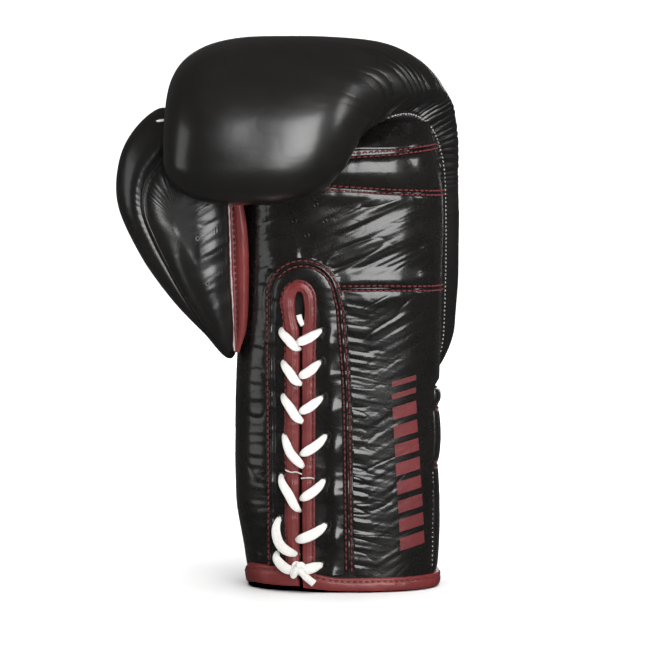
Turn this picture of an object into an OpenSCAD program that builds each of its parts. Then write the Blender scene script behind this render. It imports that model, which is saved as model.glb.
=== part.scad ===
// Lace-up boxing glove for the left hand. It stands on its cuff: +Z up, palm towards -Y, thumb towards -X.
// Leather skins are thin sheets, and the foam, lining and grip bar inside them are their own solids.

/* [Glove] */
// Height from the hem to the top of the knuckles
glove_h = 310; // [300:1:320]
// Height of the wrist break, where the padded mitt meets the cuff
wrist_z = 115; // [110:1:118]
// Width of the sleeve across the palm
sleeve_w = 114; // [110:1:120]
// Depth of the sleeve from palm side to back
sleeve_d = 72; // [70:1:76]

/* [Finger roll] */
// Thickness of the padding over the knuckles
pad_t = 45; // [40:1:48]
// Inside radius of the fold between the palm and the finger roll
fold_r = 25; // [24:1:27]
// Height of the roll's lowest edge
tip_z = 217; // [212:1:222]

/* [Lacing] */
// Place of the slit across the palm side
slit_x = -23; // [-25:1:-20]
// Height of the top of the slit
slit_top = 168; // [164:1:170]
// Width of the open slit
slit_gap = 4; // [3.8:0.1:5]
// Rows of lace holes
lace_rows = 7; // [5:1:7]
// Diameter of the lace
lace_d = 3.2; // [2.6:0.1:3.4]

/* [Materials] */
// Thickness of the leather
leather_t = 1.4; // [1:0.1:1.6]
// Thickness of the lining
lining_t = 0.9; // [0.6:0.1:1]
// Thickness of the foam in the cuff's walls
cuff_foam_t = 5; // [4:0.5:5.5]

/* [Hidden] */

black = [0.07, 0.07, 0.07];
maroon = [0.45, 0.12, 0.13];
foam_grey = [0.55, 0.55, 0.52];
cotton = [0.93, 0.92, 0.88];
cloth = [0.16, 0.16, 0.18];

air = 0.3;                    // clearance between neighbouring soft layers
pad_base_y = 8;               // inner face of the back-of-hand padding
fold_y = pad_base_y - fold_r; // centre of the finger fold
fold_z = glove_h - pad_t - fold_r;
pad_split = 16;               // depth where the outer foam meets the inner foam
hem_h = 8;
hem_out = 1.2;                // how far the hem stands proud of the leather
foam_in = leather_t + 2 * air;
lining_in = foam_in + cuff_foam_t + air;
wall_t = lining_in + lining_t;
back_foam_out = leather_t + 1.8;
back_foam_t = 9;
back_lining_in = back_foam_out + back_foam_t + air;
cuff_top = wrist_z - 3;       // top of the cuff's back padding
back_grooves = [68.5, 101.5]; // stitched grooves across the cuff's back
palm_z = 170;                 // seam between the cuff and the palm
grip_z = [223, 247];          // seams below and above the grip bar
palm_top = fold_z + fold_r - 3;
bind_w = 7.5;                 // width of the slit's binding on each side
bind_t = 2.2;
lace_top = 147;               // height of the first row of lace holes
lace_bottom = 22;
lace_drop = 9;                // from a lace hole down to where its strand enters the slit
lace_out = bind_t + lace_d / 2 + 0.4;
lace_in = -(leather_t + lace_d / 2 + 0.5);
hole_side = slit_gap / 2 + bind_w + 2.5; // lace hole to the middle of the slit
knot_out = lace_out + 1.7;
knot_z = lace_bottom - lace_drop - 0.4;
thumb_c = [-88, 203];         // middle of the thumb, across and up
thumb_y = -14;                // depth of the thumb's widest section
thumb_front = 19;
thumb_back = 20;

// ---- curves and meshes ----
function unit(t) = max(0, min(1, t));
function ease(t) = let (c = unit(t)) c * c * (3 - 2 * c);
function mix(a, b, t) = a + (b - a) * t;
function spow(v, p) = sign(v) * pow(abs(v), p);
function flat(rows) = [for (r = rows) each r];
function mean(points) = [for (k = [0:2]) [for (p = points) p[k]] * [for (p = points) 1] / len(points)];
function steps(a, b, n) = [for (i = [0:n]) mix(a, b, i / n)];
function span(list, a, b) = [for (v = list) if (v >= a - 0.001 && v <= b + 0.001) v];

// Smooth curve through [[t, value], ...] with rising t
function knot_slope(k, i) =
    let (a = max(0, i - 1), b = min(len(k) - 1, i + 1)) (k[b][1] - k[a][1]) / (k[b][0] - k[a][0]);
function through(k, t, i = 0) =
    t <= k[0][0] ? k[0][1] : t >= k[len(k) - 1][0] ? k[len(k) - 1][1] :
    t > k[i + 1][0] ? through(k, t, i + 1) :
    let (w = k[i + 1][0] - k[i][0], u = (t - k[i][0]) / w)
    k[i][1] * (1 + 2 * u) * pow(1 - u, 2) + k[i + 1][1] * u * u * (3 - 2 * u)
    + w * knot_slope(k, i) * u * pow(1 - u, 2) - w * knot_slope(k, i + 1) * u * u * (1 - u);

// Smooth closed curve through points, for t from 0 to 1
function loop_at(p, t) =
    let (n = len(p), s = t * n, i = floor(s) % n, u = s - floor(s),
         a = p[(i + n - 1) % n], b = p[i], c = p[(i + 1) % n], d = p[(i + 2) % n])
    b + u * 0.5 * ((c - a) + u * ((2 * a - 5 * b + 4 * c - d) + u * (3 * b - a - 3 * c + d)));

function grid_faces(rows, cols, closed, start, flip) =
    [for (i = [0:rows - 2]) for (j = [0:cols - (closed ? 1 : 2)])
        let (a = start + i * cols + j, b = start + i * cols + (j + 1) % cols, c = b + cols, d = a + cols)
        each flip ? [[a, b, c], [a, c, d]] : [[a, c, b], [a, d, c]]];
function rim(a, b, n) = [[a, b, b + n], [a, b + n, a + n]];

// A thick sheet between two grids of points of the same size
module sheet(outer, inner) {
    rows = len(outer);
    cols = len(outer[0]);
    n = rows * cols;
    polyhedron(concat(flat(outer), flat(inner)), concat(
        grid_faces(rows, cols, false, 0, false), grid_faces(rows, cols, false, n, true),
        [for (j = [0:cols - 2]) each rim(j, j + 1, n)],
        [for (j = [0:cols - 2]) each rim(n - cols + j + 1, n - cols + j, n)],
        [for (i = [0:rows - 2]) each rim((i + 1) * cols, i * cols, n)],
        [for (i = [1:rows - 1]) each rim(i * cols - 1, i * cols + cols - 1, n)]));
}

// A thick dome: closed rings that run from the rim to the crown
module dome(outer, inner) {
    rows = len(outer);
    cols = len(outer[0]);
    n = rows * cols;
    polyhedron(concat(flat(outer), flat(inner), [mean(outer[rows - 1]), mean(inner[rows - 1])]), concat(
        grid_faces(rows, cols, true, 0, false), grid_faces(rows, cols, true, n, true),
        [for (j = [0:cols - 1]) each rim(j, (j + 1) % cols, n)],
        [for (j = [0:cols - 1]) [n - cols + (j + 1) % cols, n - cols + j, 2 * n]],
        [for (j = [0:cols - 1]) [2 * n - cols + j, 2 * n - cols + (j + 1) % cols, 2 * n + 1]]));
}

// A closed solid through rings of points
module loft(rings) {
    rows = len(rings);
    cols = len(rings[0]);
    n = rows * cols;
    polyhedron(concat(flat(rings), [mean(rings[0]), mean(rings[rows - 1])]), concat(
        grid_faces(rows, cols, true, 0, false),
        [for (j = [0:cols - 1]) [j, (j + 1) % cols, n]],
        [for (j = [0:cols - 1]) [n - cols + (j + 1) % cols, n - cols + j, n + 1]]));
}

// Rings of a tube along a path, carried without twist
function along(p, i) = let (d = p[min(len(p) - 1, i + 1)] - p[max(0, i - 1)]) d / norm(d);
function carried(p, i, v) = let (t = along(p, i), w = v - (v * t) * t) w / norm(w);
function sides(p, v, i = 0) = i >= len(p) ? [] : let (w = carried(p, i, v)) concat([w], sides(p, w, i + 1));
function tube_rings(p, r, n) =
    let (v = sides(p, [0.31, 0.2, 0.87]))
    [for (i = [0:len(p) - 1]) let (s = v[i], u = cross(along(p, i), s))
        [for (j = [0:n - 1]) p[i] + r * (cos(360 * j / n) * s + sin(360 * j / n) * u)]];

// ---- sleeve: the oval tube of cuff and palm; angle 270 is the middle of the palm side ----
function sleeve_mid(z) = through([[0, 0.5], [20, -1], [50, -3.3], [110, -3], [170, -1], [palm_top, 0]], z);
function sleeve_a(z) = sleeve_w / 2
    + through([[0, -4], [20, -2.3], [50, 0.2], [110, 0.6], [170, 0], [grip_z[0], -0.5], [palm_top, -8]], z);
function palm_depth(z) = sleeve_d / 2
    + through([[0, 1], [110, -1.5], [170, -0.5], [grip_z[0], -1.5], [235, 1.5], [grip_z[1], -3],
               [palm_top, -17]], z);
function back_depth(z) = sleeve_d / 2 + through([[0, 1], [80, -1], [wrist_z, -3]], z);
function sleeve(angle, z, inset = 0, inset_y = -1) =
    let (c = spow(cos(angle), 0.8), s = spow(sin(angle), 0.8), d = s < 0 ? palm_depth(z) : back_depth(z))
    [sleeve_mid(z) + (sleeve_a(z) - inset) * c, (d - (inset_y < 0 || s < 0 ? inset : inset_y)) * s, z];
// Angle on the palm side at a place across the sleeve
function palm_angle(x, z) = 270 + asin(spow(max(-1, min(1, (x - sleeve_mid(z)) / sleeve_a(z))), 1.25));
function on_palm(x, z, out = 0) = let (p = sleeve(palm_angle(x, z), z)) [x, p[1] - out, z];

// ---- mitt padding: a D-shaped section carried up the hand, round the fold and down the roll ----
// Station q runs 0 to 1 up the hand, 1 to 2 round the fold, 2 to 3 down the finger roll.
stations = [0, 0.02, 0.05, 0.08, 0.12, 0.2, 0.35, 0.5, 0.7, 0.85, 1, 1.12, 1.25, 1.37, 1.49, 1.51, 1.63,
            1.75, 1.87, 2, 2.15, 2.3, 2.45, 2.6, 2.75, 2.87, 2.95, 3];
knuckle = [1.49, 1.51];       // where the padding divides over the knuckles
section = concat([0], steps(7, 173, 16), [180]);
foam_section = steps(7, 173, 16);
function turn(q) = 180 * unit(q - 1);
function base_at(q) = [fold_y + fold_r * cos(turn(q)),
    q < 1 ? mix(wrist_z, fold_z, q) : q > 2 ? mix(fold_z, tip_z, q - 2) : fold_z + fold_r * sin(turn(q))];
function thick(q) = pad_t * through([[0, 0.72], [0.3, 0.84], [1, 0.98], [1.5, 1], [2, 0.8], [3, 0.7]], q);
function right_base(q) = through([[0, 46], [0.07, 52], [0.2, 55], [1, 55], [1.17, 52], [1.33, 45], [1.5, 34],
    [1.75, 15], [2, -2], [2.35, -8], [2.65, -16], [2.85, -28], [3, -42]], q);
function right_side(q) = through([[0, 50], [0.07, 59], [0.25, 66.5], [1, 69], [1.17, 67.5], [1.33, 63], [1.5, 53],
    [1.75, 20], [2, 3], [2.35, -3], [2.65, -11], [2.85, -23], [3, -40]], q);
function left_base(q) = through([[0, -42], [0.07, -52], [0.2, -57], [0.6, -68], [1, -79], [1.5, -88], [2, -90],
    [2.35, -88], [2.65, -82], [2.85, -74], [3, -66]], q);
function left_side(q) = through([[0, -44], [0.07, -56], [0.25, -64], [0.6, -76], [1, -88], [1.5, -97], [2, -99],
    [2.35, -96], [2.65, -90], [2.85, -81], [3, -69]], q);
function end_round(q) =
    let (e = q < 0.12 ? 1 - q / 0.12 : q > 2.3 ? (q - 2.3) / 0.7 : 0) sqrt(max(0.03, 1 - e * e));
// A point of the section: angle 0 is the little-finger side, 90 the crown, 180 the thumb side.
// d is the depth inside.
function pad(q, angle, d = 0) =
    let (right = cos(angle) > 0, t = thick(q), e = end_round(q),
         mid = mix(right_side(q), left_side(q), 0.55),
         sn = pow(abs(sin(angle)), right ? 0.9 : 0.7), tuck = 1 - ease(sn / 0.35),
         cs = pow(abs(cos(angle)), 0.6),
         side = right ? mix(right_side(q), right_base(q), tuck) : mix(left_side(q), left_base(q), tuck))
    lifted(q, mid + (right ? 1 : -1) * (abs(side - mid) - d) * cs, (t * e - d) * sn);
// A point x across and n above the padding's inner face
function lifted(q, x, n) =
    let (b = base_at(q), out = thick(q) * (1 - end_round(q)) / 2 + n)
    [x, b[0] + out * cos(turn(q)), b[1] + out * sin(turn(q))];
function pad_grid(q0, q1, angles, d) = [for (q = span(stations, q0, q1)) [for (a = angles) pad(q, a, d)]];
function lining_grid(q0, q1, n) =
    [for (q = span(stations, q0, q1)) let (a = pad(q, 0, 2.5)[0], b = pad(q, 180, 2.5)[0])
        [for (u = steps(0, 1, 8)) lifted(q, mix(a, b, u), n)]];

module pad_layer(q0, q1, d0, d1) {
    sheet(pad_grid(q0, q1, foam_section, d0), pad_grid(q0, q1, foam_section, d1));
}
module pad_core(q0, q1) { loft(pad_grid(q0, q1, foam_section, pad_split + air)); }
module pad_lining(q0, q1) { sheet(lining_grid(q0, q1, air + lining_t), lining_grid(q0, q1, air)); }

// ---- thumb: a cushion on its outline; lean runs -90 at the middle of the palm side to 90 at the back ----
thumb_outline = [[-61.5, 131], [-78, 143], [-97, 163], [-115, 189], [-127, 219], [-123, 247], [-103, 269],
                 [-86, 262], [-70, 248], [-63, 222], [-62, 178]];
thumb_cols = 32;
// How far the back leather wraps onto the palm side
function wrap(t) =
    through([[0, -8], [0.12, -42], [0.25, -60], [0.45, -62], [0.6, -56], [0.72, -20], [1, -8]], t);
function thumb(t, lean, d = 0) =
    let (o = loop_at(thumb_outline, t), r = pow(abs(cos(lean)), 0.62),
         h = lean < 0 ? thumb_front : thumb_back,
         c = thumb_c + (1 - d / 38) * r * (o - thumb_c))
    [c[0], thumb_y + (h - d) * spow(sin(lean), 0.8), c[1]];
// Rings from a rim lean to near the crown; side 1 is the back, side -1 the palm side
function thumb_rings(side, d, lean0 = undef, gap = 0) =
    [for (u = steps(0, 1, 7)) [for (j = [0:thumb_cols - 1])
        let (t = (side > 0 ? j : thumb_cols - j) / thumb_cols % 1,
             l = is_undef(lean0) ? wrap(t) + side * gap : lean0)
        thumb(t, mix(l, side * 84, u), d)]];
module thumb_mouth() { translate([-76, -19, 172]) cube([20, 14, 38]); }

// Puts the middle of the whole glove's box over the origin
pad_x = [for (q = stations) for (a = section) pad(q, a)[0]];
pad_y = [for (q = stations) for (a = section) pad(q, a)[1]];
thumb_x = [for (j = [0:thumb_cols - 1]) loop_at(thumb_outline, j / thumb_cols)[0]];
box_mid = [(min(thumb_x) + max(pad_x)) / 2, (min(pad_y) + max(pad_y)) / 2];
module centred() { translate([-box_mid[0], -box_mid[1], 0]) children(); }

// ---- cuff ----
slit_left = slit_x - slit_gap / 2;
slit_right = slit_x + slit_gap / 2;
function slit_half(z) = through([[0, slit_gap / 2], [slit_top - 20, slit_gap / 2], [slit_top - 12, 5],
    [slit_top - 5, 5], [slit_top, 0.4], [slit_top + 9, 0.4]], z);
function bind_half(z) = slit_gap / 2 + bind_w + (slit_half(min(z, slit_top - 5)) - slit_gap / 2) / 3;
side_right = 368;             // where the side leather ends at the back
side_left = 172;

function ring_points(inset, inset_y) = [for (a = [0:5:355])
    let (p = sleeve(a, 0, inset), back_y = sleeve(a, 0)[1] * (1 - inset_y / back_depth(0)))
    [p[0], p[1] > 0 ? back_y : p[1]]];
module hem_binding() {
    color(maroon) centred() linear_extrude(hem_h) difference() {
        polygon(ring_points(-hem_out, -hem_out));
        polygon(ring_points(wall_t, back_lining_in + lining_t));
        translate([slit_x - slit_gap / 2 - 1, -sleeve_d]) square([slit_gap + 2, sleeve_d]);
    }
}

// Part of the sleeve's wall between two edges, given as an angle for each height
function wall_grid(zs, a0, a1, cols, inset) =
    [for (k = [0:len(zs) - 1]) [for (i = [0:cols]) sleeve(mix(a0[k], a1[k], i / cols), zs[k], inset)]];
module wall(zs, a0, a1, cols, inset, t) {
    sheet(wall_grid(zs, a0, a1, cols, inset), wall_grid(zs, a0, a1, cols, inset + t));
}
function same(zs, a) = [for (z = zs) a];
function slit_edge(zs, side, far = 0) =
    [for (z = zs) palm_angle(slit_x + side * (far > 0 ? far : slit_half(z)), z)];

function row_z(i) = mix(lace_top, lace_bottom, i / (lace_rows - 1));
module lace_holes(side) {
    for (i = [0:lace_rows - 1])
        translate([slit_x + side * hole_side, 0, row_z(i)]) rotate([90, 0, 0])
            cylinder(r = lace_d / 2 + 0.6, h = 60, $fn = 16);
}

side_rows = [hem_h + air, 30, 60, 90, 112, 130, slit_top - 20, slit_top - 12, slit_top - 5, slit_top,
             palm_z - air];
module cuff_thumb_side_leather() {
    color(black) centred() difference() {
        wall(side_rows, same(side_rows, side_left), slit_edge(side_rows, -1), 12, 0, leather_t);
        lace_holes(-1);
    }
}
module cuff_finger_side_leather() {
    color(black) centred() difference() {
        wall(side_rows, slit_edge(side_rows, 1), same(side_rows, side_right), 18, 0, leather_t);
        lace_holes(1);
    }
}

module cuff_back_leather() {
    g = back_grooves;
    zs = [hem_h + air, 20, 45, g[0] - 3, g[0], g[0] + 3, 85, g[1] - 3, g[1], g[1] + 3, cuff_top];
    dip = [0, 0, 0, 0, 1.4, 0, 0, 0, 1.4, 0, 0.6];
    function rows(inset) = [for (k = [0:len(zs) - 1]) [for (a = steps(10, 170, 24))
        sleeve(a, zs[k], inset, dip[k] + inset)]];
    color(black) centred() sheet(rows(0), rows(leather_t));
}

cuff_rows = [hem_h + air, 30, 60, 90, 108];
foam_from_slit = 17;          // how far the wall foam stays from the middle of the slit
module thumb_side_foam(zs, t) {
    color(foam_grey) centred()
        wall(zs, same(zs, side_left), slit_edge(zs, -1, foam_from_slit), 12, foam_in, t);
}
module finger_side_foam(zs, t) {
    color(foam_grey) centred()
        wall(zs, slit_edge(zs, 1, foam_from_slit), same(zs, side_right), 16, foam_in, t);
}
module cuff_thumb_side_foam() { thumb_side_foam(cuff_rows, cuff_foam_t); }
module cuff_finger_side_foam() { finger_side_foam(cuff_rows, cuff_foam_t); }

module back_foam(z0, z1) {
    function rows(inset, inset_y) =
        [for (z = steps(z0, z1, 3)) [for (a = steps(15, 165, 24)) sleeve(a, z, inset, inset_y)]];
    color(foam_grey) centred() sheet(rows(foam_in, back_foam_out),
                                     rows(foam_in + cuff_foam_t, back_foam_out + back_foam_t));
}
module cuff_back_foam_low() { back_foam(hem_h + air, back_grooves[0] - 1); }
module cuff_back_foam_middle() { back_foam(back_grooves[0] + 1, back_grooves[1] - 1); }
module cuff_back_foam_top() { back_foam(back_grooves[1] + 1, cuff_top - 0.5); }

module cuff_lining() {
    function ring(z, t) = [for (a = steps(palm_angle(slit_right, z), palm_angle(slit_left, z) + 360, 56))
        sleeve(a, z, lining_in + t, back_lining_in + t)];
    color(cloth) centred() sheet([for (z = cuff_rows) ring(z, 0)], [for (z = cuff_rows) ring(z, lining_t)]);
}

// The binding's path: up the thumb side, round the top of the slit, down the finger side
function bind_path(half) =
    let (c = slit_top - 5, n = 9,
         zs = concat(steps(hem_h + air, slit_top - 22, 6), [for (d = [16, 12, 8]) slit_top - d]))
    concat([for (z = zs) [slit_x - half(z), z]],
        [for (a = steps(180, 0, 12)) [slit_x + half(c) * cos(a), c + half(c) * sin(a)]],
        [for (i = [n:-1:0]) [slit_x + half(zs[i]), zs[i]]]);
module slit_binding() {
    outer = bind_path(function(z) bind_half(z));
    inner = bind_path(function(z) slit_half(min(z, slit_top - 5)) + 0.05);
    function strip(out) = [for (i = [0:len(outer) - 1]) [for (u = steps(0, 1, 4))
        let (p = mix(outer[i], inner[i], u)) on_palm(p[0], p[1], out)]];
    color(maroon) centred() sheet(strip(bind_t), strip(air));
}

// One strand: out of a hole, over the binding, into the slit and under to the next hole on the other side
function strand(side) = flat([for (i = [0:lace_rows - 1])
    let (s = side * (i % 2 == 0 ? 1 : -1), z = row_z(i), x = slit_x + s * hole_side,
         v = z - lace_drop - 2.6 * s, last = i == lace_rows - 1)
    concat([on_palm(x, z, lace_in), on_palm(x, z, lace_out - 0.6),
            on_palm(mix(x, slit_x, 0.3), mix(z, v, 0.3), lace_out)],
        last ? [on_palm(slit_x + s * 4.1, knot_z + 2, knot_out - 0.6)]
             : [on_palm(slit_x, v, lace_out), on_palm(slit_x, v, lace_in)])]);
module lace() {
    left = strand(-1);
    right = strand(1);
    n = len(left);
    path = concat([for (i = [n - 1:-1:0]) left[i]], [on_palm(slit_x, 154, lace_in)], right);
    color(cotton) centred() loft(tube_rings(path, lace_d / 2, 8));
}
module lace_knot() {
    color(cotton) centred() translate(on_palm(slit_x, knot_z, knot_out)) sphere(r = 3.2, $fn = 24);
}

// The tail goes over the hem into the slit and ends behind the binding
module lace_tail() {
    k = on_palm(slit_x, knot_z, knot_out);
    path = [k + [0.8, 0.3, -3.6], k + [0.6, 1.5, -6.5], [slit_x + 0.2, k[1] + 5, 3.8],
            [slit_x, k[1] + 8.5, 3.8], [slit_x, k[1] + 10.6, 6.5], [slit_x, k[1] + 10.8, 14]];
    color(cotton) centred() loft(tube_rings(path, lace_d / 2, 8));
}

module wrist_break_leather() {
    zs = [cuff_top + air, wrist_z - air];
    function rows(d) = [for (z = zs) [for (a = steps(18, 162, 20)) sleeve(a, z, 6 + d, 9.5 + d)]];
    color(black) centred() sheet(rows(0), rows(leather_t));
}

// ---- palm side of the mitt ----
heel_rows = [120, 135, 150, 169];
palm_foam_t = 3;
module heel_foam_thumb_side() { thumb_side_foam(heel_rows, palm_foam_t); }
module heel_foam_finger_side() { finger_side_foam(heel_rows, palm_foam_t); }

// The palm's edge follows the inner face of the padding over the fold
function edge_y(z) = z <= fold_z ? 7 : fold_y + sqrt(max(0, pow(fold_r, 2) - pow(z - fold_z, 2))) - 1.5;
function palm_end(zs) = [for (z = zs)
    let (y = edge_y(z), depth = y < 0 ? palm_depth(z) : back_depth(z)) 360 + asin(spow(y / depth, 1.25))];
thumb_side_end = 205;
module palm_panel(z0, z1, rows) {
    zs = steps(z0 + air, z1, rows);
    color(black) centred() wall(zs, same(zs, thumb_side_end), palm_end(zs), 28, 0, leather_t);
}
module palm_leather() { palm_panel(palm_z, grip_z[0] - air, 3); }
module grip_bar_leather() { palm_panel(grip_z[0], grip_z[1] - air, 6); }
module finger_palm_leather() { palm_panel(grip_z[1], palm_top, 4); }
module palm_foam() {
    zs = steps(palm_z + 1, grip_z[0] - 1, 3);
    color(foam_grey) centred() wall(zs, same(zs, thumb_side_end), same(zs, 350), 24, foam_in, palm_foam_t);
}
module grip_bar() {
    z = (grip_z[0] + grip_z[1]) / 2;
    path = [for (a = steps(222, 318, 16)) sleeve(a, z, foam_in + 8.5)];
    color(foam_grey) centred() loft(tube_rings(path, 8, 16));
}
module palm_lining() {
    zs = [120, 140, 169, 195, 218, 226, 235, 244, 252, palm_top - 2];
    function depth(z) = through([[120, 6.4], [155, 6.4], [195, 5.4], [218, 6], [226, 15], [231, 19],
        [239, 19], [246, 10], [254, 4], [palm_top, 3]], z);
    function row(z, t) = [for (a = steps(thumb_side_end, min(350, palm_end([z])[0] - 3), 26))
        sleeve(a, z, depth(z) + t)];
    color(cloth) centred() sheet([for (z = zs) row(z, 0)], [for (z = zs) row(z, lining_t)]);
}
module thumb_web_piping() {
    zs = steps(136, 218, 8);
    full = 9.5;
    function row(z, y) = let (w = full * unit((z - 126) / 30))
        [for (u = steps(0, 1, 3)) [full - 61.6 + w * (u - 1), y - 0.8 * sin(180 * u), z]];
    color(maroon) centred() sheet([for (z = zs) row(z, -24.6)], [for (z = zs) row(z, -22.8)]);
}

// ---- padded back, finger roll ----
module mitt_leather() {
    color(black) centred() sheet(pad_grid(0, 3, section, 0), pad_grid(0, 3, section, leather_t));
}
module back_foam_outer() { color(foam_grey) centred() pad_layer(0.05, knuckle[0], foam_in, pad_split); }
module back_foam_inner() { color(foam_grey) centred() pad_core(0.08, knuckle[0]); }
module back_lining() { color(cloth) centred() pad_lining(0.05, knuckle[0]); }
module roll_foam_outer() { color(foam_grey) centred() pad_layer(knuckle[1], 2.87, foam_in, pad_split); }
module roll_foam_inner() { color(foam_grey) centred() pad_core(knuckle[1], 2.75); }
module fingertip_lining() { color(cloth) centred() pad_lining(knuckle[1], 2.75); }

// ---- thumb ----
module thumb_back_leather() {
    color(black) centred() difference() {
        dome(thumb_rings(1, 0, gap = 0.6), thumb_rings(1, leather_t, gap = 0.6));
        thumb_mouth();
    }
}
module thumb_palm_leather() {
    color(black) centred() difference() {
        dome(thumb_rings(-1, 0, gap = 0.6), thumb_rings(-1, leather_t, gap = 0.6));
        thumb_mouth();
    }
}
module thumb_foam() {
    color(foam_grey) centred() difference() {
        dome(thumb_rings(1, foam_in + 0.8, 6), thumb_rings(1, 10, 6));
        thumb_mouth();
    }
}
module thumb_lining() {
    color(cloth) centred() difference() {
        dome(thumb_rings(1, 10 + air, 6), thumb_rings(1, 10 + air + lining_t, 6));
        thumb_mouth();
    }
}
module thumb_lock_strap() {
    path = [[-102.5, -17.4, 268.6], [-101.5, -20, 269.4], [-100.2, -23, 269], [-99.2, -25.5, 267.6]];
    color(cotton) centred() loft(tube_rings(path, 0.9, 8));
}

hem_binding();
cuff_thumb_side_leather();
cuff_finger_side_leather();
cuff_back_leather();
cuff_thumb_side_foam();
cuff_finger_side_foam();
cuff_back_foam_low();
cuff_back_foam_middle();
cuff_back_foam_top();
cuff_lining();
slit_binding();
lace();
lace_knot();
lace_tail();
wrist_break_leather();
heel_foam_thumb_side();
heel_foam_finger_side();
palm_foam();
grip_bar();
palm_leather();
grip_bar_leather();
finger_palm_leather();
thumb_web_piping();
palm_lining();
back_lining();
back_foam_inner();
back_foam_outer();
mitt_leather();
roll_foam_inner();
roll_foam_outer();
fingertip_lining();
thumb_back_leather();
thumb_palm_leather();
thumb_foam();
thumb_lining();
thumb_lock_strap();
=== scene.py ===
"""Lace-up boxing glove: visible skins, stitching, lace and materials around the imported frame.

Shapes are worked out in millimetres in the glove's own design frame: x across the palm from the middle of the
sleeve, palm towards -y, z up from the hem. place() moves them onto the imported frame, in metres, as each piece
is made.
"""
import itertools
import math

import bpy
import numpy as np
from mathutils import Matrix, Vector


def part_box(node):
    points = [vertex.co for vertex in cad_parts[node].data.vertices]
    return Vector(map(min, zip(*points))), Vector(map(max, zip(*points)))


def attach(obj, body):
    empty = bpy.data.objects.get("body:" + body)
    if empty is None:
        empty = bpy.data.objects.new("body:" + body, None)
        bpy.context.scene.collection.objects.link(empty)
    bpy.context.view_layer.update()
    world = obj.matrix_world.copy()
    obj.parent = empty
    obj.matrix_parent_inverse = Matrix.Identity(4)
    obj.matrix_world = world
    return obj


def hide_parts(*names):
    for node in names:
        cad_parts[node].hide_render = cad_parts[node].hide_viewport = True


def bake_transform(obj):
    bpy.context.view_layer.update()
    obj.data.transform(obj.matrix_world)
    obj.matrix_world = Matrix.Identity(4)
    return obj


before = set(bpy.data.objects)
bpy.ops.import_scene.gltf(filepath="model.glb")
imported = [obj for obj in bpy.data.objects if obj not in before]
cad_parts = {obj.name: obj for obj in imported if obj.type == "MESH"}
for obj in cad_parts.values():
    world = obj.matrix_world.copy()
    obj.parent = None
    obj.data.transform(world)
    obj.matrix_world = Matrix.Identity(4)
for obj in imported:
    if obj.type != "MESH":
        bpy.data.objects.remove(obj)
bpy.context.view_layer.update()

# ---------------------------------------------------------------- design sizes, millimetres
GLOVE_H = 310.0
WRIST_Z = 115.0
FOLD_R = 25.0
FOLD_Y = 8.0 - FOLD_R
PAD_T = 45.0
TIP_Z = 217.0
FOLD_Z = GLOVE_H - PAD_T - FOLD_R
PALM_TOP = FOLD_Z + FOLD_R - 3
SLEEVE_W = 114.0
SLEEVE_D = 72.0
SLIT_X = -23.0
LEATHER = 1.4
HEM_H = 7.6
PALM_SEAM_Z = 169.5
GRIP_LOW_Z = 223.0
GRIP_HIGH_Z = 247.0
BACK_GROOVES = (68.5, 101.5)
BACK_ROWS = [g + s for g in BACK_GROOVES for s in (-1.6, 1.6)]
CUFF_TOP = WRIST_Z - 3
THUMB_MID = np.array([-88.0, 203.0])
THUMB_Y = -14.0
THUMB_FRONT = 19.0
THUMB_BACK = 20.0
TO_FRONT = (0.0, -1.0, 0.0)

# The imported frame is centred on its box, and the web strip's box shows by how much
STRIP_LEFT = -61.6
STRIP_BACK_Y = -22.8
strip_low, strip_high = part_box("thumb_web_piping")
SHIFT = np.array([1000 * strip_low.x - STRIP_LEFT, 1000 * strip_high.y - STRIP_BACK_Y, 0.0])


def place(points):
    """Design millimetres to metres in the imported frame."""
    return (np.asarray(points, float) + SHIFT) * 0.001


# ---------------------------------------------------------------- curves and noise
def mix(a, b, t):
    return a + (b - a) * t


def ease(t):
    t = np.clip(t, 0, 1)
    return t * t * (3 - 2 * t)


def spow(v, p):
    """Power that keeps its sign."""
    return np.sign(v) * np.abs(v) ** p


def unit(v):
    """Vectors scaled to length 1."""
    return v / np.maximum(np.linalg.norm(v, axis=-1, keepdims=True), 1e-9)


def xyz(x, y, z):
    """Points from their three coordinates."""
    return np.stack(np.broadcast_arrays(x, y, z), axis=-1)


def lengths(points, axis=0):
    """Distance along a chain or a grid of points, from 0 at its first."""
    steps = np.linalg.norm(np.diff(points, axis=axis), axis=-1)
    return np.concatenate([0 * steps.take([0], axis), np.cumsum(steps, axis)], axis)


def sample(points, at, s):
    """Points at the lengths s of a chain whose own points are at the lengths at."""
    return np.stack([np.interp(s, at, column) for column in points.T], axis=-1)


def through(knots, t):
    """Smooth curve through (t, value) knots, flat beyond its ends."""
    k = np.array(knots, float)
    t = np.asarray(t, float)
    slope = np.zeros(len(k))
    for i in range(len(k)):
        a, b = max(0, i - 1), min(len(k) - 1, i + 1)
        slope[i] = (k[b, 1] - k[a, 1]) / (k[b, 0] - k[a, 0])
    s = np.clip(t, k[0, 0], k[-1, 0])
    i = np.clip(np.searchsorted(k[:, 0], s, side="right") - 1, 0, len(k) - 2)
    w = k[i + 1, 0] - k[i, 0]
    u = (s - k[i, 0]) / w
    return (k[i, 1] * (1 + 2 * u) * (1 - u) ** 2 + k[i + 1, 1] * u * u * (3 - 2 * u)
            + w * slope[i] * u * (1 - u) ** 2 - w * slope[i + 1] * u * u * (1 - u))


def polyline(points, count):
    """count evenly spaced points along a chain of points."""
    p = np.array(points, float)
    at = lengths(p)
    return sample(p, at, np.linspace(0, at[-1], count))


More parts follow.
